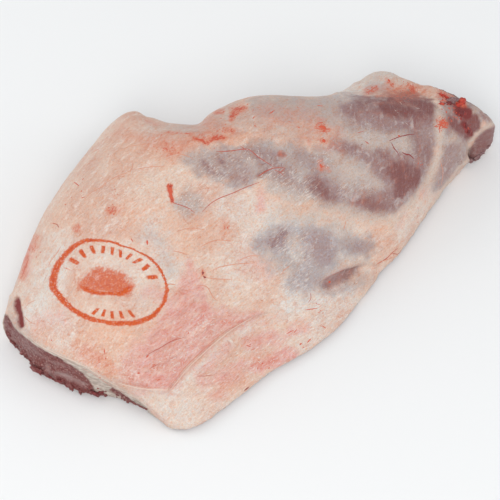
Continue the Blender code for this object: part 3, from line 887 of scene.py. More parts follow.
RED_REACHES_FARTHEST = (1.0, 0.45, 0.3)
THREAD_TURN = math.radians(-8)
MUSCLE_TURN = math.radians(-55)
CUT_TURN = math.radians(69)
LEAN_TURN = math.radians(20)
skin_material, tree, shader = principled("fell_and_fat", FAT_CREAM, 0.5)
place = object_place(tree)
painted = {
    name: Value(add_node(tree, "ShaderNodeAttribute", attribute_name=name).outputs["Fac"]) for name in masks
}
cloud = speckle(place, 24, detail=3, roughness=0.6)
mottle = speckle(place, 6, detail=6, roughness=0.75)
other_mottle = speckle(
    place, 4.3, stretch=(2.2, 1, 1), turn=THREAD_TURN, detail=5, roughness=0.75, twist=0.5
)
fleck = speckle(place, 1.5, detail=3, roughness=0.7)
threads = speckle(place, 0.6, stretch=(7, 1, 2), turn=THREAD_TURN, detail=3, roughness=0.7, twist=0.5)
stain_grain = speckle(
    place, 1.8, stretch=(1.5, 1, 1), turn=THREAD_TURN, detail=5, roughness=0.85, twist=0.3
)
membrane_grain = speckle(
    place, 2.8, stretch=(3.2, 1, 1), turn=THREAD_TURN, detail=5, roughness=0.75, twist=0.3
)
blush = speckle(place, 1.2, stretch=(1.5, 1, 1), turn=THREAD_TURN, detail=4, roughness=0.9, twist=0.3)
soft_blush = speckle(place, 5.5, stretch=(2.2, 1, 1), turn=THREAD_TURN, detail=4, roughness=0.65, twist=0.6)
pores = speckle(place, 1.1, detail=4, roughness=0.85)
muscle_grain = speckle(place, 1.0, stretch=(7, 1, 3), turn=MUSCLE_TURN, detail=3, roughness=0.65, twist=0.4)
wisps = speckle(place, 5, stretch=(1.4, 1, 1.2), turn=MUSCLE_TURN, detail=6, roughness=0.66, twist=0.7)
veil = speckle(place, 9, stretch=(1.6, 1, 1), turn=MUSCLE_TURN, detail=5, roughness=0.62, twist=0.3)
web = speckle(place, 16, stretch=(1.5, 1, 1), turn=THREAD_TURN, detail=3, roughness=0.55, twist=1.2)
fine_web = speckle(place, 6, stretch=(1.5, 1, 1), turn=THREAD_TURN, detail=2, twist=1.0)

colour = blend(ramp(cloud, 0.38, 0.64), FAT_CREAM, FAT_ROSE)
colour = blend(broken(painted["peach"], other_mottle, 1.0), colour, FAT_PEACH)
colour = blend(broken(painted["cool"], mottle, 1.0), colour, FAT_COOL)
colour = blend(ramp(other_mottle, 0.48, 0.7) * 0.6, colour, FAT_WHITE)
colour = blend(ramp(mottle, 0.5, 0.3) * 0.75, colour, FAT_ROSE)
rosy = broken(painted["rosy"], other_mottle, 2.2)
colour = blend(rosy, colour, ROSY_MEMBRANE)
colour = blend(rosy * ramp(soft_blush, 0.52, 0.66) * 0.6, colour, MEMBRANE_WHITE)
colour = blend(rosy * ramp(membrane_grain, 0.5, 0.66) * 0.6, colour, MEMBRANE_WHITE)
colour = blend(rosy * ramp(membrane_grain, 0.49, 0.36) * 0.75, colour, MEMBRANE_RED)
flushed = painted["flushed"]
colour = blend(flushed * ramp(soft_blush, 0.46, 0.6) * 0.6, colour, FLUSH)
colour = blend(flushed * ramp(membrane_grain, 0.5, 0.66) * 0.25, colour, FAT_WHITE)
colour = blend(flushed * ramp(membrane_grain, 0.5, 0.36) * 0.45, colour, FLUSH)
colour = blend(flushed * ramp(stain_grain, 0.54, 0.66) * 0.4, colour, FLUSH)
colour = blend(lines_of(web, 0.01) * ramp(cloud, 0.4, 0.58) * 0.5, colour, VESSEL)
colour = blend(lines_of(fine_web, 0.016) * ramp(mottle, 0.48, 0.62) * 0.45, colour, VESSEL)
colour = blend(ramp(threads, 0.53, 0.7) * 0.32, colour, FAT_WHITE)
colour = blend(ramp(threads, 0.46, 0.32) * 0.22, colour, FAT_ROSE)
# Grey of thin fell over muscle, and the painted shade along the top.
colour = blend(broken(painted["grey"], wisps, 1.5), colour, THIN_FELL_AND_SHADE)
muscle = blend(ramp(veil, 0.46, 0.3), MAUVE_MUSCLE, RED_MUSCLE)
muscle = blend(ramp(muscle_grain, 0.5, 0.36) * 0.4, muscle, RED_MUSCLE)
muscle = blend(ramp(wisps, 0.5, 0.66) * 0.65, muscle, MUSCLE_VEIL)
colour = blend(broken(painted["mauve"], wisps, 1.2), colour, muscle)
lean = blend(ramp(muscle_grain, 0.52, 0.68) * 0.5, LEAN_MUSCLE, MAUVE_MUSCLE)
lean_share = broken(painted["lean"], veil, 1.3)
colour = blend(lean_share, colour, lean)
colour = blend(broken(painted["pale"], other_mottle, 1.3), colour, PALE_BAND)
over_muscle = maths("MINIMUM", maths("MAXIMUM", painted["grey"], painted["mauve"]), 1.0)
over_muscle *= 1.0 - lean_share * 0.8
colour = blend(over_muscle * ramp(wisps, 0.5, 0.68) * 0.38, colour, WISP)
colour = blend(over_muscle * ramp(wisps, 0.48, 0.34) * 0.35, colour, WISP_SHADE)
colour = blend(over_muscle * ramp(membrane_grain, 0.52, 0.7) * 0.3, colour, WISP)
colour = tinted(over_muscle * painted["cool"], colour, BLUISH_TINT)
colour = blend(painted["fibre"] * ramp(threads, 0.5, 0.66) * 0.6, colour, FAT_WHITE)
# Painted shade in the folds, in their reddish tone.
colour = blend(painted["crease"] * ramp(other_mottle, 0.4, 0.56) * 0.35, colour, CREASE_SHADE)
colour = tinted(ramp(blush, 0.51, 0.64), colour, WARM_TINT)
colour = tinted(ramp(blush, 0.49, 0.36), colour, COOL_TINT)
colour = tinted(ramp(soft_blush, 0.5, 0.7) * 0.4, colour, WARM_TINT)
colour = tinted(ramp(pores, 0.51, 0.64), colour, DEEP_TINT)
colour = tinted(ramp(pores, 0.5, 0.4), colour, LIGHT_TINT)
stain = broken(painted["stain"], stain_grain, 3.4)
colour = blend(stain * 0.9, colour, BLOOD_STAIN)
colour = blend(ramp(stain, 0.65, 1.0) * 0.8, colour, DEEP_STAIN)
# Dark blood, and the slit's dark red with its painted shade.
colour = blend(broken(painted["dark"], fleck, 0.9), colour, DARK_BLOOD_AND_SLIT_SHADE)

mark = add_node(tree, "ShaderNodeAttribute", attribute_name="mark_place")
mark_axes = add_node(tree, "ShaderNodeSeparateXYZ")
feed(mark_axes.inputs[0], Value(mark.outputs["Vector"]))
mark_x = Value(mark_axes.outputs[0])
mark_y = Value(mark_axes.outputs[1])
mark_radius = maths("SQRT", mark_x * mark_x + mark_y * mark_y)
mark_turn = maths("ARCTAN2", mark_y, mark_x)
ink_grain = speckle(place, 1.2, detail=4, roughness=0.85)
roughen = (fleck - 0.5) + (ink_grain - 0.5)
ring_width = 0.046 + mark_x * -0.014 + mark_y * -0.012 + (cloud - 0.5) * 0.1
ring_gap = abs(mark_radius - 1.0) + roughen * 0.1
ring_ink = ramp(ring_gap / maths("MAXIMUM", ring_width, 0.018), 1.25, 0.75)

STROKES = 23
STROKE_SLANT = 3.2
UPPER_ROW = (0.1, 2.8)
LOWER_ROW = (-2.1, -0.95)
ROW_RADIUS = 0.79
ROW_FADE = 0.05


def within(value, span, fade):
    """1 where the value lies in this span, and less over a short fade beyond it."""
    return ramp(value, span[0] - fade, span[0]) * ramp(value, span[1] + fade, span[1])


stroke_count = mark_turn * (STROKES / (2 * math.pi))
chance = add_node(tree, "ShaderNodeTexWhiteNoise", noise_dimensions="1D")
feed(chance.inputs["W"], maths("FLOOR", stroke_count))
slant = (Value(chance.outputs["Value"]) - 0.5) * STROKE_SLANT
from_row = mark_radius - ROW_RADIUS
across = maths("FRACT", stroke_count) - 0.5 + from_row * slant + roughen * 0.2
stroke_ink = ramp(abs(across), 0.24, 0.13) * ramp(abs(from_row) + roughen * 0.06, 0.115, 0.075)
stroke_ink *= within(mark_turn, UPPER_ROW, ROW_FADE) + within(mark_turn, LOWER_ROW, ROW_FADE)

BLOT_MIDDLE = (-0.07, 0.02)
BLOT_RADII = (0.5, 0.33)
blot_x = (mark_x - BLOT_MIDDLE[0]) / BLOT_RADII[0]
blot_y = (mark_y - BLOT_MIDDLE[1]) / BLOT_RADII[1]
blot_gap = blot_x * blot_x + blot_y * blot_y + (other_mottle - 0.5) * 3.4 + roughen * 1.6
blot_ink = ramp(blot_gap, 1.2, 0.35) * 0.85
blot_radius = maths("SQRT", blot_x * blot_x + blot_y * blot_y)
rim_gap = abs(blot_radius - 0.85) + roughen * 0.3
rim_ink = ramp(rim_gap, 0.24, 0.1) * ramp(blot_y, 0.15, -0.35)
blot_ink = maths("MAXIMUM", blot_ink, rim_ink)

ink = maths("MAXIMUM", maths("MAXIMUM", ring_ink, stroke_ink), blot_ink)
wear = ramp(fleck * 0.55 + other_mottle * 0.5, 0.4, 0.58)
ink *= maths("MINIMUM", 0.3 + wear * 0.4 + ramp(ink_grain, 0.4, 0.5) * 0.65, 1.0)
colour = blend(ink, colour, blend(ramp(fleck, 0.45, 0.65), INK, INK_DARK))

cut_grain = speckle(place, 2.0, stretch=(1, 2.2, 1), turn=LEAN_TURN, detail=5, roughness=0.75)
cut_speck = speckle(place, 1.5, detail=4, roughness=0.85)
cut_lines = speckle(place, 1.2, stretch=(9, 1, 1), turn=CUT_TURN, detail=3, roughness=0.6)
cut_colour = blend(ramp(cut_lines, 0.4, 0.62), CUT_FAT, CUT_STREAK)
cut_meat = blend(ramp(cut_grain, 0.46, 0.8), CUT_LEAN, MAUVE_MUSCLE)
cut_meat = blend(painted["mauve"] * ramp(stain_grain, 0.4, 0.58), cut_meat, MAUVE_MUSCLE)
# Pale flecks in the lean: partly pale grain, partly painted wet glints.
cut_meat = blend(ramp(cut_speck, 0.56, 0.61), cut_meat, CUT_FLECK_AND_GLINT)
cut_meat = blend(ramp(cut_speck, 0.46, 0.41) * 0.8, cut_meat, CUT_DARK)
cut_meat = blend(ramp(cut_grain, 0.44, 0.32), cut_meat, DARK_BLOOD_AND_SLIT_SHADE)
cut_meat = blend(ramp(stain_grain, 0.56, 0.68) * 0.4, cut_meat, CUT_SEAM)
cut_colour = blend(painted["cut_lean"], cut_colour, cut_meat)
cut_colour = blend(painted["cut_seam"], cut_colour, CUT_SEAM)
cut_colour = blend(broken(painted["dark"], fleck, 0.7), cut_colour, DARK_BLOOD_AND_SLIT_SHADE)
colour = blend(painted["cut"], colour, cut_colour)
feed(shader.inputs["Base Color"], colour)

feed(shader.inputs["Roughness"], 0.62 + mottle * -0.3)
feed(shader.inputs["Subsurface Weight"], 0.10)
feed(shader.inputs["Subsurface Radius"], RED_REACHES_FARTHEST)
feed(shader.inputs["Subsurface Scale"], 2 * MM)
feed(shader.inputs["Specular IOR Level"], 0.45)

height = mottle * 0.7 + threads * 0.42 + fleck * 0.5 + lines_of(fine_web, 0.05) * 0.12
height += painted["cut"] * (cut_grain * 1.2 + cut_speck)
bumped(shader, height, 1.0 * MM)
skin_mesh.materials.clear()
skin_mesh.materials.append(skin_material)


# Vessels that stand out under the skin, and blood that dried on it. Each is a flat thread of its own, half
# sunk in the skin, tapered at both ends, with a ragged edge. A splash is a cluster of short threads.
Thread = namedtuple("Thread", "pixels half_width height", defaults=(0.12,))
Splash = namedtuple("Splash", "pixel spread count length half_width angle")
RED_VESSELS = (
    Thread(((216, 151.5), (230, 151), (240, 149.5), (247, 149)), 0.32),
    Thread(((240, 146), (244, 148.5), (248, 151)), 0.22),
    Thread(((259, 176), (264, 172.5), (270, 169)), 0.32),
    Thread(((278, 174), (282, 171), (285, 168)), 0.25),
    Thread(((170, 201), (177, 204), (187, 207.5), (195, 213)), 0.3),
    Thread(((202, 212), (210, 204), (220, 198), (233, 193), (244, 188), (260, 182)), 0.29),
    Thread(((233, 151), (243, 149), (250, 150), (257, 156), (266, 162), (274, 167)), 0.29),
    Thread(((257, 177), (263, 173), (274, 168), (286, 168)), 0.26),
    Thread(((274, 170), (280, 172), (284, 176)), 0.24), Thread(((365, 141), (369, 144)), 0.36),
    Thread(((357, 133), (364, 131)), 0.22), Thread(((310, 292), (311, 298), (308, 303)), 0.23),
    Thread(((320, 282), (330, 276), (346, 269)), 0.23),
    Thread(((378, 264), (387, 258), (392, 253), (398, 248)), 0.36),
    Thread(((392, 253), (398, 254), (402, 249)), 0.29),
    Thread(((146, 356), (152, 352), (160, 348), (172, 341), (186, 337)), 0.26),
    Thread(((149, 369), (160, 363)), 0.2), Thread(((52, 223), (57, 224.5), (59, 228)), 0.3),
    Thread(((21, 280), (23, 274), (25, 269), (29, 258)), 0.29),
    Thread(((197, 376), (205, 376), (212, 375)), 0.22),
)
FAINT_VESSELS = (
    Thread(((172, 251), (179, 252), (188, 255)), 0.3),
    Thread(((200, 247), (210, 242), (220, 240), (232, 241)), 0.28),
    Thread(((212, 271), (220, 267), (237, 264), (255, 263)), 0.28),
    Thread(((207, 278), (218, 279), (232, 279.5)), 0.28),
    Thread(((198, 285), (207, 287), (213, 297), (218, 301)), 0.34),
    Thread(((100, 187), (114, 178), (131, 170), (132, 162)), 0.3),
    Thread(((131, 170), (150, 167), (167, 166)), 0.26), Thread(((84, 200), (92, 192), (104, 186)), 0.24),
    Thread(((61, 246), (57, 253), (50, 262), (49, 267)), 0.34),
    Thread(((344, 230), (345, 225), (346, 220)), 0.26),
    Thread(((160, 152), (176, 153), (190, 157), (193, 160)), 0.26),
    Thread(((166, 285), (171, 284), (176, 285)), 0.34), Thread(((24, 316), (30, 322), (36, 324)), 0.26),
    Thread(((24, 310), (28, 304), (36, 300)), 0.22), Thread(((281, 276), (284, 270), (290, 266)), 0.26),
    Thread(((440, 160), (443, 172), (441, 186)), 0.26), Thread(((372, 268), (380, 262), (392, 258)), 0.3),
    Thread(((91, 154), (95, 151), (99, 149)), 0.44), Thread(((120, 150), (132, 146), (146, 144)), 0.24),
    Thread(((235, 262), (250, 256), (262, 255)), 0.22), Thread(((176, 232), (190, 228), (205, 230)), 0.22),
)
BRIGHT_MARKS = (
    Thread(((194, 138.5), (200, 139.5), (204, 141.5)), 0.6, 0.04), Thread(((184, 133), (190, 134)), 0.4),
    Thread(((216, 113), (222, 113)), 0.6), Thread(((398, 136), (400, 136)), 0.9),
    Thread(((438.5, 130), (441, 124), (443, 119)), 0.55), Thread(((440, 123), (448, 122.5)), 0.5),
    Thread(((442, 126), (448, 128)), 0.5), Thread(((440, 126), (439.5, 133)), 0.35),
    Thread(((443, 119), (446, 126)), 0.6), Thread(((437, 124), (444, 126)), 0.5),
    Thread(((466, 123), (468, 128), (470, 133)), 0.4), Thread(((299.5, 345), (302, 343)), 0.45, 0.05),
    Thread(((307, 343), (311, 338.5)), 0.4, 0.05), Thread(((246, 345), (251, 347)), 0.35, 0.05),
    Thread(((294, 333), (297, 329)), 0.3, 0.05), Thread(((262, 363), (263, 364.5)), 0.6, 0.05),
    Thread(((268, 368), (270, 368)), 0.5, 0.05), Thread(((322, 326), (326, 328)), 0.4, 0.05),
    Thread(((286, 334), (294, 330)), 0.25, 0.04), Thread(((319, 127.5), (322, 126.5), (326, 128.5)), 1.3),
    Thread(((318, 123), (323, 122.5)), 0.5), Thread(((314, 128), (322, 129), (331, 129)), 0.4),
    Thread(((322, 141), (326, 141)), 1.3), Thread(((320, 164), (322, 168)), 0.8),
    Thread(((317, 105.5), (323, 106)), 0.5), Thread(((269, 114), (275, 110)), 0.4),
    Thread(((366, 93), (371, 90), (376, 87)), 0.9), Thread(((368, 92), (375, 92)), 0.7),
    Thread(((388, 79), (390, 82)), 0.8), Thread(((74, 182), (79, 186)), 0.4),
    Thread(((82, 180), (84, 178)), 0.5), Thread(((81, 198), (85, 197)), 0.4),
    Thread(((81, 190.5), (82, 191.5)), 0.5), Thread(((65, 204), (66, 205)), 0.5),
    Thread(((131, 238), (133, 242)), 0.4), Thread(((147, 240), (147.5, 245)), 0.6),
    Thread(((169, 184.5), (170, 188), (170, 193)), 1.2, 0.05),
    Thread(((170, 191), (171.5, 196), (172.5, 201)), 0.9, 0.05), Thread(((137.5, 373.5), (140, 373)), 0.5),
    Thread(((146, 357.5), (149, 355)), 0.5), Thread(((187.5, 333), (189, 333)), 0.5),
    Thread(((51, 340), (52, 340.5)), 0.6), Thread(((329, 281), (330, 283)), 0.8),
    Thread(((305, 310), (318, 308)), 0.3), Thread(((104, 348), (105, 355)), 0.3),
)
DARK_MARKS = (
    Thread(((169, 187), (171, 186.5)), 0.6), Thread(((171.5, 199), (172.5, 200.5)), 0.5),
    Thread(((202, 272.5), (204, 273)), 1.2), Thread(((203, 276), (206, 278)), 0.6),
    Thread(((244, 391), (249, 387)), 0.6, 0.05), Thread(((458, 112), (463, 114), (467, 113)), 1.6),
    Thread(((464, 124), (467, 129), (470, 133)), 1.8), Thread(((437, 93), (442, 94)), 0.6),
    Thread(((440, 104), (446, 103)), 0.9),
    Thread(((389, 141), (399, 137), (407, 135), (415, 134)), 0.36, 0.06),
    Thread(((391, 142), (394, 148), (398, 153), (398, 156)), 0.34, 0.06),
    Thread(((402, 152), (406, 154.5), (410, 155), (414, 159)), 0.5, 0.08),
)
BRIGHT_SPLASHES = (
    Splash((222, 131), 10, 18, 2.0, 0.25, 10), Splash((236, 112), 7, 12, 1.8, 0.3, 30),
    Splash((205, 141), 10, 12, 2.0, 0.25, 10), Splash((164, 148), 14, 18, 2.2, 0.2, 5),
    Splash((322, 127), 6, 12, 1.8, 0.22, 10), Splash((323, 141), 4, 5, 1.4, 0.22, 0),
    Splash((371, 91), 4, 7, 1.8, 0.6, 35), Splash((408, 91), 10, 22, 1.6, 0.28, 60),
    Splash((392, 84), 5, 8, 1.4, 0.28, 60), Splash((443, 95), 6, 16, 1.8, 0.5, -25),
    Splash((443, 103), 5, 12, 1.8, 0.6, 10), Splash((443, 124), 6.5, 70, 2.6, 0.25, 65),
    Splash((452, 107), 7, 14, 1.8, 0.4, -30), Splash((461, 103), 4, 26, 2.0, 0.9, 60),
    Splash((455, 115), 6, 10, 1.6, 0.4, 30), Splash((112, 211), 5, 10, 1.5, 0.5, 20),
    Splash((116, 193), 6, 6, 1.2, 0.3, 10), Splash((30, 250), 9, 14, 2.0, 0.45, 65),
    Splash((171, 192), 3, 6, 1.4, 0.4, 85), Splash((226, 228), 4, 5, 1.2, 0.4, 70),
    Splash((250, 105), 14, 7, 2.4, 0.35, 25), Splash((300, 112), 22, 6, 2.0, 0.3, 20),
    Splash((100, 362), 14, 9, 1.6, 0.35, 20), Splash((160, 372), 14, 8, 2.4, 0.25, 35),
    Splash((255, 350), 25, 8, 2.2, 0.25, 35), Splash((318, 308), 8, 6, 2.4, 0.3, 5),
    Splash((425, 225), 20, 8, 2.4, 0.3, 55), Splash((310, 350), 12, 5, 1.6, 0.3, 50),
    Splash((60, 205), 20, 8, 1.2, 0.3, 60), Splash((420, 165), 8, 4, 1.2, 0.4, 60),
)
DARK_SPLASHES = (
    Splash((462, 114), 5, 12, 1.8, 0.7, 15), Splash((467, 129), 4, 12, 1.8, 0.8, 60),
    Splash((445, 99), 7, 10, 1.8, 0.6, -20), Splash((452, 103), 4, 8, 1.5, 0.9, 10),
    Splash((404, 105), 8, 8, 2.2, 0.3, 5), Splash((90, 393), 10, 14, 1.5, 0.6, -20),
    Splash((37, 372), 4, 10, 1.5, 0.9, -20), Splash((59, 381), 4, 8, 1.5, 0.8, -20),
)
FAINT_SPLASHES = (
    Splash((110, 170), 50, 50, 2.6, 0.14, 45), Splash((70, 215), 40, 36, 2.2, 0.14, 50),
    Splash((160, 150), 36, 26, 2.4, 0.15, 20), Splash((240, 125), 40, 22, 2.4, 0.15, 15),
    Splash((150, 225), 44, 36, 2.4, 0.14, 35), Splash((235, 245), 50, 30, 2.6, 0.14, 20),
    Splash((215, 265), 30, 22, 3.0, 0.14, 10), Splash((170, 350), 34, 34, 3.2, 0.15, 35),
    Splash((190, 310), 24, 20, 3.0, 0.15, 50), Splash((250, 360), 40, 36, 3.0, 0.15, 38),
    Splash((80, 345), 40, 34, 2.0, 0.14, 10), Splash((45, 290), 24, 16, 2.0, 0.14, 70),
    Splash((320, 205), 40, 18, 2.4, 0.14, -20), Splash((430, 205), 24, 24, 2.4, 0.15, 55),
    Splash((330, 320), 40, 22, 2.4, 0.14, 45), Splash((200, 195), 30, 18, 2.4, 0.14, 35),
    Splash((300, 135), 30, 16, 2.4, 0.14, 0), Splash((395, 88), 16, 18, 1.8, 0.16, 40),
)
PALE_SPLASHES = (
    Splash((254, 153), 12, 26, 2.2, 0.17, -35), Splash((214, 174), 14, 26, 2.4, 0.17, 10),
    Splash((186, 203), 16, 34, 2.4, 0.17, 30), Splash((288, 183), 18, 30, 3.0, 0.13, 60),
    Splash((278, 250), 20, 24, 2.6, 0.12, 55), Splash((292, 275), 18, 20, 2.6, 0.12, 50),
    Splash((330, 262), 16, 10, 2.0, 0.12, 45), Splash((348, 296), 12, 10, 2.2, 0.13, 45),
    Splash((326, 159), 11, 20, 2.2, 0.13, 25), Splash((326, 159), 11, 16, 2.0, 0.13, 115),
    Splash((145, 195), 26, 44, 2.4, 0.16, 30), Splash((205, 322), 12, 26, 3.0, 0.18, 40),
    Splash((170, 364), 12, 16, 3.0, 0.2, 25), Splash((185, 345), 26, 40, 3.4, 0.16, 38),
    Splash((230, 330), 24, 24, 3.2, 0.16, 35), Splash((255, 365), 26, 24, 3.0, 0.16, 38),
    Splash((60, 300), 20, 30, 1.6, 0.15, 40), Splash((240, 230), 30, 36, 2.2, 0.15, 40),
    Splash((370, 200), 20, 5, 3.0, 0.12, 100), Splash((400, 115), 26, 6, 3.0, 0.12, -15),
    Splash((100, 345), 26, 24, 2.0, 0.16, 10), Splash((380, 290), 16, 14, 2.4, 0.15, 50),
)
MUSCLE_SPLASHES = (
    Splash((366, 116), 14, 12, 3.0, 0.15, 100), Splash((405, 106), 18, 20, 3.2, 0.15, 5),
    Splash((404, 175), 18, 22, 3.0, 0.14, 75), Splash((372, 207), 16, 16, 2.6, 0.14, 80),
    Splash((324, 193), 12, 10, 2.4, 0.14, 100), Splash((272, 243), 8, 8, 3.0, 0.15, 40),
    Splash((345, 282), 12, 12, 2.2, 0.15, 60), Splash((222, 165), 16, 10, 3.4, 0.12, 10),
    Splash((275, 165), 18, 16, 3.2, 0.16, 30), Splash((455, 160), 10, 8, 3.0, 0.14, 60),
    Splash((378, 128), 18, 10, 2.6, 0.14, 20),
)
# Pale lines along the flap's edge, the cut's rim and the membrane's lower edge: the fat's pale edge, and on
# the flap's edge and the rim partly a painted highlight where the raised lip faces the light.
EDGE_LINES = (
    Thread(((170, 390), (177, 382), (185, 371.5), (197, 359.5), (213, 344.5), (232, 329.5), (252, 317.5)),
        0.5, 0.12),
    Thread(((27, 335), (40, 345.5), (60, 355.5), (75, 361.5), (90, 369.5), (105, 379.5), (127, 391)), 0.3,
        0.06), Thread(((118, 383), (135, 387.5), (150, 389.5), (168, 390)), 0.35, 0.08),
)
EDGE_SHADES = (
    Thread(((168, 388), (175, 380), (183, 369.5), (195, 357.5), (211, 342.5), (230, 327.5)), 0.34, 0.03),
    Thread(((118, 381), (135, 385.5), (150, 387.5), (167, 388)), 0.25, 0.03),
    Thread(((80, 367), (95, 375), (110, 385.5), (125, 393)), 0.25, 0.03),
)
THREAD_SPACING = 0.7 * MM
ANGLE_SPREAD = 35
CROSS_SHARES = (-1.0, -0.6, 0.0, 0.6, 1.0, 0.5, -0.5)
CROSS_HEIGHTS = (-0.6, 0.7, 1.0, 0.7, -0.6, -1.6, -1.6)


def sight_line(pixel):
    """The way from the camera to what a pixel of the photograph shows."""
    across = PHOTO_RIGHT * (pixel[0] - PHOTO_WIDTH / 2) * PIXEL
    down = PHOTO_UP * (PHOTO_WIDTH / 2 - pixel[1]) * PIXEL
    return (across + down - TOWARDS_CAMERA * CAMERA_DISTANCE).normalized()


def on_leg(pixel):
    """The place on the leg that a pixel of the photograph shows, or none."""
    return skin_tree.ray_cast(CAMERA_PLACE, sight_line(pixel))[0]


def spaced(points, spacing):
    """The path of places with its points set at even distances."""
    points = np.array(points)
    steps = np.linalg.norm(np.diff(points, axis=0), axis=1)
    run = np.concatenate([[0], np.cumsum(steps)])
    count = max(int(run[-1] / spacing), 3)
    at = np.linspace(0, run[-1], count + 1)
    return np.column_stack([np.interp(at, run, points[:, k]) for k in range(3)])


def add_thread(bm, thread, ragged):
    """One flat thread along its path on the skin, closed at both ends."""
    hits = [on_leg(p) for p in rounded_path(thread.pixels)]
    hits = [h for h in hits if h is not None]
    if len(hits) < 2 or (hits[0] - hits[-1]).length < 0.1 * MM:
        return
    path = spaced(hits, min(THREAD_SPACING, (hits[0] - hits[-1]).length / 3))
    rings = []
    for i, point in enumerate(path):
        ahead = Vector(path[min(i + 1, len(path) - 1)] - path[max(i - 1, 0)]).normalized()
        base, up, _, _ = skin_tree.find_nearest(Vector(point))
        side = ahead.cross(up).normalized()
        share = i / (len(path) - 1)
        taper = max(math.sqrt(max(4 * share * (1 - share), 0)), 0.08) ** 0.7
        width = thread.half_width * MM * taper
        ring = []
        for across, height in zip(CROSS_SHARES, CROSS_HEIGHTS):
            rag = 1 + ragged * noise.noise(base / (1.1 * MM) + Vector((across, 0, 5)))
            spot, lift, _, _ = skin_tree.find_nearest(base + side * across * width * rag)
            ring.append(bm.verts.new(spot + lift * height * thread.height * MM * taper))
        rings.append(ring)
    for one, two in zip(rings, rings[1:]):
        for k in range(len(one)):
            n = (k + 1) % len(one)
            bm.faces.new((one[k], one[n], two[n], two[k]))
    bm.faces.new(rings[0][::-1])
    bm.faces.new(rings[-1])


def splash_threads(splash, rng):
    """A splash's short threads, scattered round its middle and lying near its angle."""
    threads = []
    for _ in range(splash.count):
        middle = np.array(splash.pixel) + rng.normal(0, splash.spread / 2, 2)
        angle = math.radians(splash.angle + rng.normal(0, ANGLE_SPREAD))
        half = splash.length * rng.uniform(0.3, 1.0) * MM / PIXEL / 2
        step = np.array((math.cos(angle), -math.sin(angle))) * half
        width = splash.half_width * rng.uniform(0.5, 1.3)
        threads.append(Thread((tuple(middle - step), tuple(middle + step)), width))
    return threads


def add_piece(name, bm, material):
    """A finished piece of the leg from its mesh."""
    mesh = bpy.data.meshes.new(name)
    bm.to_mesh(mesh)
    bm.free()
    mesh.shade_smooth()
    mesh.materials.append(material)
    obj = bpy.data.objects.new(name, mesh)
    bpy.context.scene.collection.objects.link(obj)
    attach(obj, "root")


ThreadPiece = namedtuple("ThreadPiece", "name material colour roughness ragged threads splashes")
THREAD_PIECES = (
    ThreadPiece("red_vessels", "vessel_red", tone(186, 80, 62), 0.5, 0.5, RED_VESSELS, ()),
    ThreadPiece("faint_vessels", "vessel_faint", tone(214, 144, 118), 0.5, 0.5, FAINT_VESSELS, ()),
    ThreadPiece("bright_blood", "blood_bright", tone(206, 88, 60), 0.42, 0.9, BRIGHT_MARKS, BRIGHT_SPLASHES),
    ThreadPiece("dark_blood", "blood_dark", tone(142, 46, 42), 0.38, 0.9, DARK_MARKS, DARK_SPLASHES),
    ThreadPiece("faint_fibres", "fibre_faint", tone(216, 150, 126), 0.5, 0.5, (), FAINT_SPLASHES),
    ThreadPiece("pale_fibres", "fibre_pale", tone(226, 215, 208), 0.5, 0.5, (), PALE_SPLASHES),
    ThreadPiece("muscle_fibres", "fibre_muscle", tone(142, 98, 93), 0.5, 0.5, (), MUSCLE_SPLASHES),
    ThreadPiece("edge_lines", "edge_fat_and_highlight", tone(228, 202, 186), 0.55, 0.5, EDGE_LINES, ()),
    ThreadPiece("edge_shades", "edge_shade", tone(212, 140, 122), 0.6, 0.6, EDGE_SHADES, ()),
)

rng = np.random.default_rng(7)
for piece in THREAD_PIECES:
    bm = bmesh.new()
    for thread in piece.threads:
        add_thread(bm, thread, piece.ragged)
    for splash in piece.splashes:
        for thread in splash_threads(splash, rng):
            add_thread(bm, thread, piece.ragged)
    bmesh.ops.recalc_face_normals(bm, faces=bm.faces)
    add_piece(piece.name, bm, principled(piece.material, piece.colour, piece.roughness)[0])


# Shreds of lean left hanging at the saw cut's lower edge, and torn bits of muscle round the shank's end,
# each a small uneven lump sunk into the meat. A lump has its pixel, its radius in mm, and how it is drawn
# out along the edge.
Lump = namedtuple("Lump", "pixel radius stretch angle", defaults=(1.4, 0))
LEAN_LUMPS = (
    Lump((34, 370.5), 2.2, 1.4, -30), Lump((38, 372), 1.8, 1.5, 0), Lump((56, 380), 1.4, 1.5, -15),
    Lump((92, 394), 1.4, 1.5, -5), Lump((98, 394), 1.3, 1.5, 5),
)
END_LUMPS = (
    Lump((451, 101), 2.2, 1.8, 25), Lump((456, 100), 1.6, 1.5, 10),
)
RED_LUMPS = (
    Lump((461.5, 103), 2.2, 1.8, 65), Lump((463, 100), 1.6, 1.4, 0), Lump((458, 105), 1.4, 2.0, 30),
    Lump((443, 95.5), 1.1, 2.0, -30), Lump((447, 97.5), 1.0, 1.8, -30), Lump((441, 104), 1.0, 2.0, 10),
)
DARK_LUMPS = (
    Lump((461, 113), 1.6, 1.6, 10), Lump((466, 125), 1.0, 2.2, -65), Lump((468.5, 131), 1.1, 2.0, -60),
    Lump((449, 103), 1.4, 1.5, 20), Lump((37, 373), 1.4, 1.4, -20), Lump((59, 382.5), 1.3, 1.5, -5),
    Lump((94, 396), 1.2, 1.6, -5),
)
RAGGED_EDGE_PIXELS = (
    (8, 330), (11, 340), (16, 347), (22, 352), (28, 359), (33, 367), (40, 372), (50, 376), (58, 380.5),
    (66, 383), (75, 387), (84, 391), (92, 394), (99, 394.5), (104, 393.5),
)
SLIVER_EDGE_PIXELS = ((116, 396), (124, 399.5), (132, 403.5), (140, 407.5), (146, 410))
END_EDGE_PIXELS = ((489, 145), (484, 151), (479, 156), (474, 159.5), (470, 161))
LOW_EDGE = 7 * MM
LOWEST_LUMP = 3 * MM
FLOOR_GAP = 0.1 * MM
FLATNESS = 0.3
EDGE_ANGLE = -30
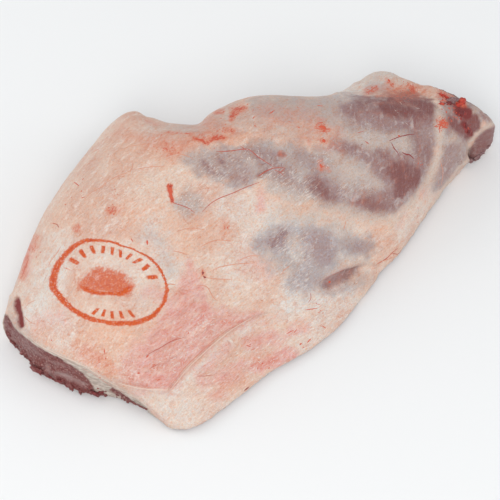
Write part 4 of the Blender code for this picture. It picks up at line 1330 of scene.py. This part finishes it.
LUMP_BUMPS = ((0.45, 1.6, 90), (0.30, 4, 70))


def near_leg(pixel):
    """The place on the leg at a pixel, or for a pixel just off the outline one beside the leg."""
    hit = on_leg(pixel)
    if hit is not None:
        return hit
    ray = sight_line(pixel)
    level = LOW_EDGE
    for _ in range(3):
        beside = CAMERA_PLACE + ray * ((CAMERA_PLACE.z - level) / -ray.z)
        nearest = skin_tree.find_nearest(beside)[0]
        level = max(nearest.z, LOWEST_LUMP)
    return beside.lerp(nearest, 0.5)


def add_lumps(name, lumps, material):
    """One piece made of these lumps."""
    bm = bmesh.new()
    for lump in lumps:
        middle = near_leg(lump.pixel)
        up = skin_tree.find_nearest(middle)[1]
        angle = math.radians(lump.angle)
        long_way = (PHOTO_RIGHT * math.cos(angle) + PHOTO_UP * math.sin(angle)).normalized()
        made = bmesh.ops.create_icosphere(bm, subdivisions=3, radius=1.0)["verts"]
        for vertex in made:
            unit = vertex.co.copy()
            bumpy = 1
            for share, closeness, shift in LUMP_BUMPS:
                bumpy += share * noise.noise(unit * closeness + middle * shift)
            out = unit * lump.radius * MM * bumpy
            out += long_way * out.dot(long_way) * (lump.stretch - 1)
            vertex.co = middle + out - up * out.dot(up) * FLATNESS
            vertex.co.z = max(vertex.co.z, FLOOR_GAP)
    add_piece(name, bm, material)


def edge_lumps(path, count, scatter, smallest, largest, rng):
    """Small lumps scattered along an edge, most of them near the smallest size."""
    path = rounded_path(path)
    lumps = []
    for _ in range(count):
        at = rng.uniform(0, len(path) - 1)
        low = min(int(at), len(path) - 2)
        pixel = path[low] + (path[low + 1] - path[low]) * (at - low) + rng.normal(0, scatter, 2)
        radius = smallest + (largest - smallest) * rng.uniform() ** 2.5
        stretch = rng.uniform(1.0, 2.2)
        angle = EDGE_ANGLE + rng.normal(0, ANGLE_SPREAD)
        lumps.append(Lump(tuple(pixel), radius, stretch, angle))
    return lumps


def lean_material(name, colour, other_colour, roughness):
    """Torn lean in two tones that give way to each other."""
    material, tree, shader = principled(name, colour, roughness)
    grain = speckle(object_place(tree), 1.6, stretch=(2, 1, 1), detail=4, roughness=0.75)
    feed(shader.inputs["Base Color"], blend(ramp(grain, 0.42, 0.66), colour, other_colour))
    bumped(shader, grain, 0.8 * MM)
    return material


edge_shreds = [
    *edge_lumps(RAGGED_EDGE_PIXELS, 130, 1.5, 0.35, 1.3, rng),
    *edge_lumps(SLIVER_EDGE_PIXELS, 22, 0.7, 0.35, 0.9, rng),
]
end_shreds = edge_lumps(END_EDGE_PIXELS, 34, 0.7, 0.4, 1.3, rng)
dark_edge_shreds = edge_lumps(RAGGED_EDGE_PIXELS[4:], 30, 1.2, 0.4, 1.3, rng)
lean_shred = lean_material("lean_shred", tone(116, 48, 46), tone(150, 98, 94), 0.5)
end_shred = lean_material("end_shred", tone(130, 92, 92), tone(160, 128, 126), 0.5)
red_shred = lean_material("red_shred", tone(178, 40, 26), tone(212, 82, 54), 0.42)
dark_shred = lean_material("dark_shred", tone(108, 34, 36), tone(136, 52, 50), 0.4)
add_lumps("lean_shreds", [*LEAN_LUMPS, *edge_shreds], lean_shred)
add_lumps("shank_end_shreds", [*END_LUMPS, *end_shreds], end_shred)
add_lumps("red_shreds", RED_LUMPS, red_shred)
add_lumps("dark_shreds", [*DARK_LUMPS, *dark_edge_shreds], dark_shred)
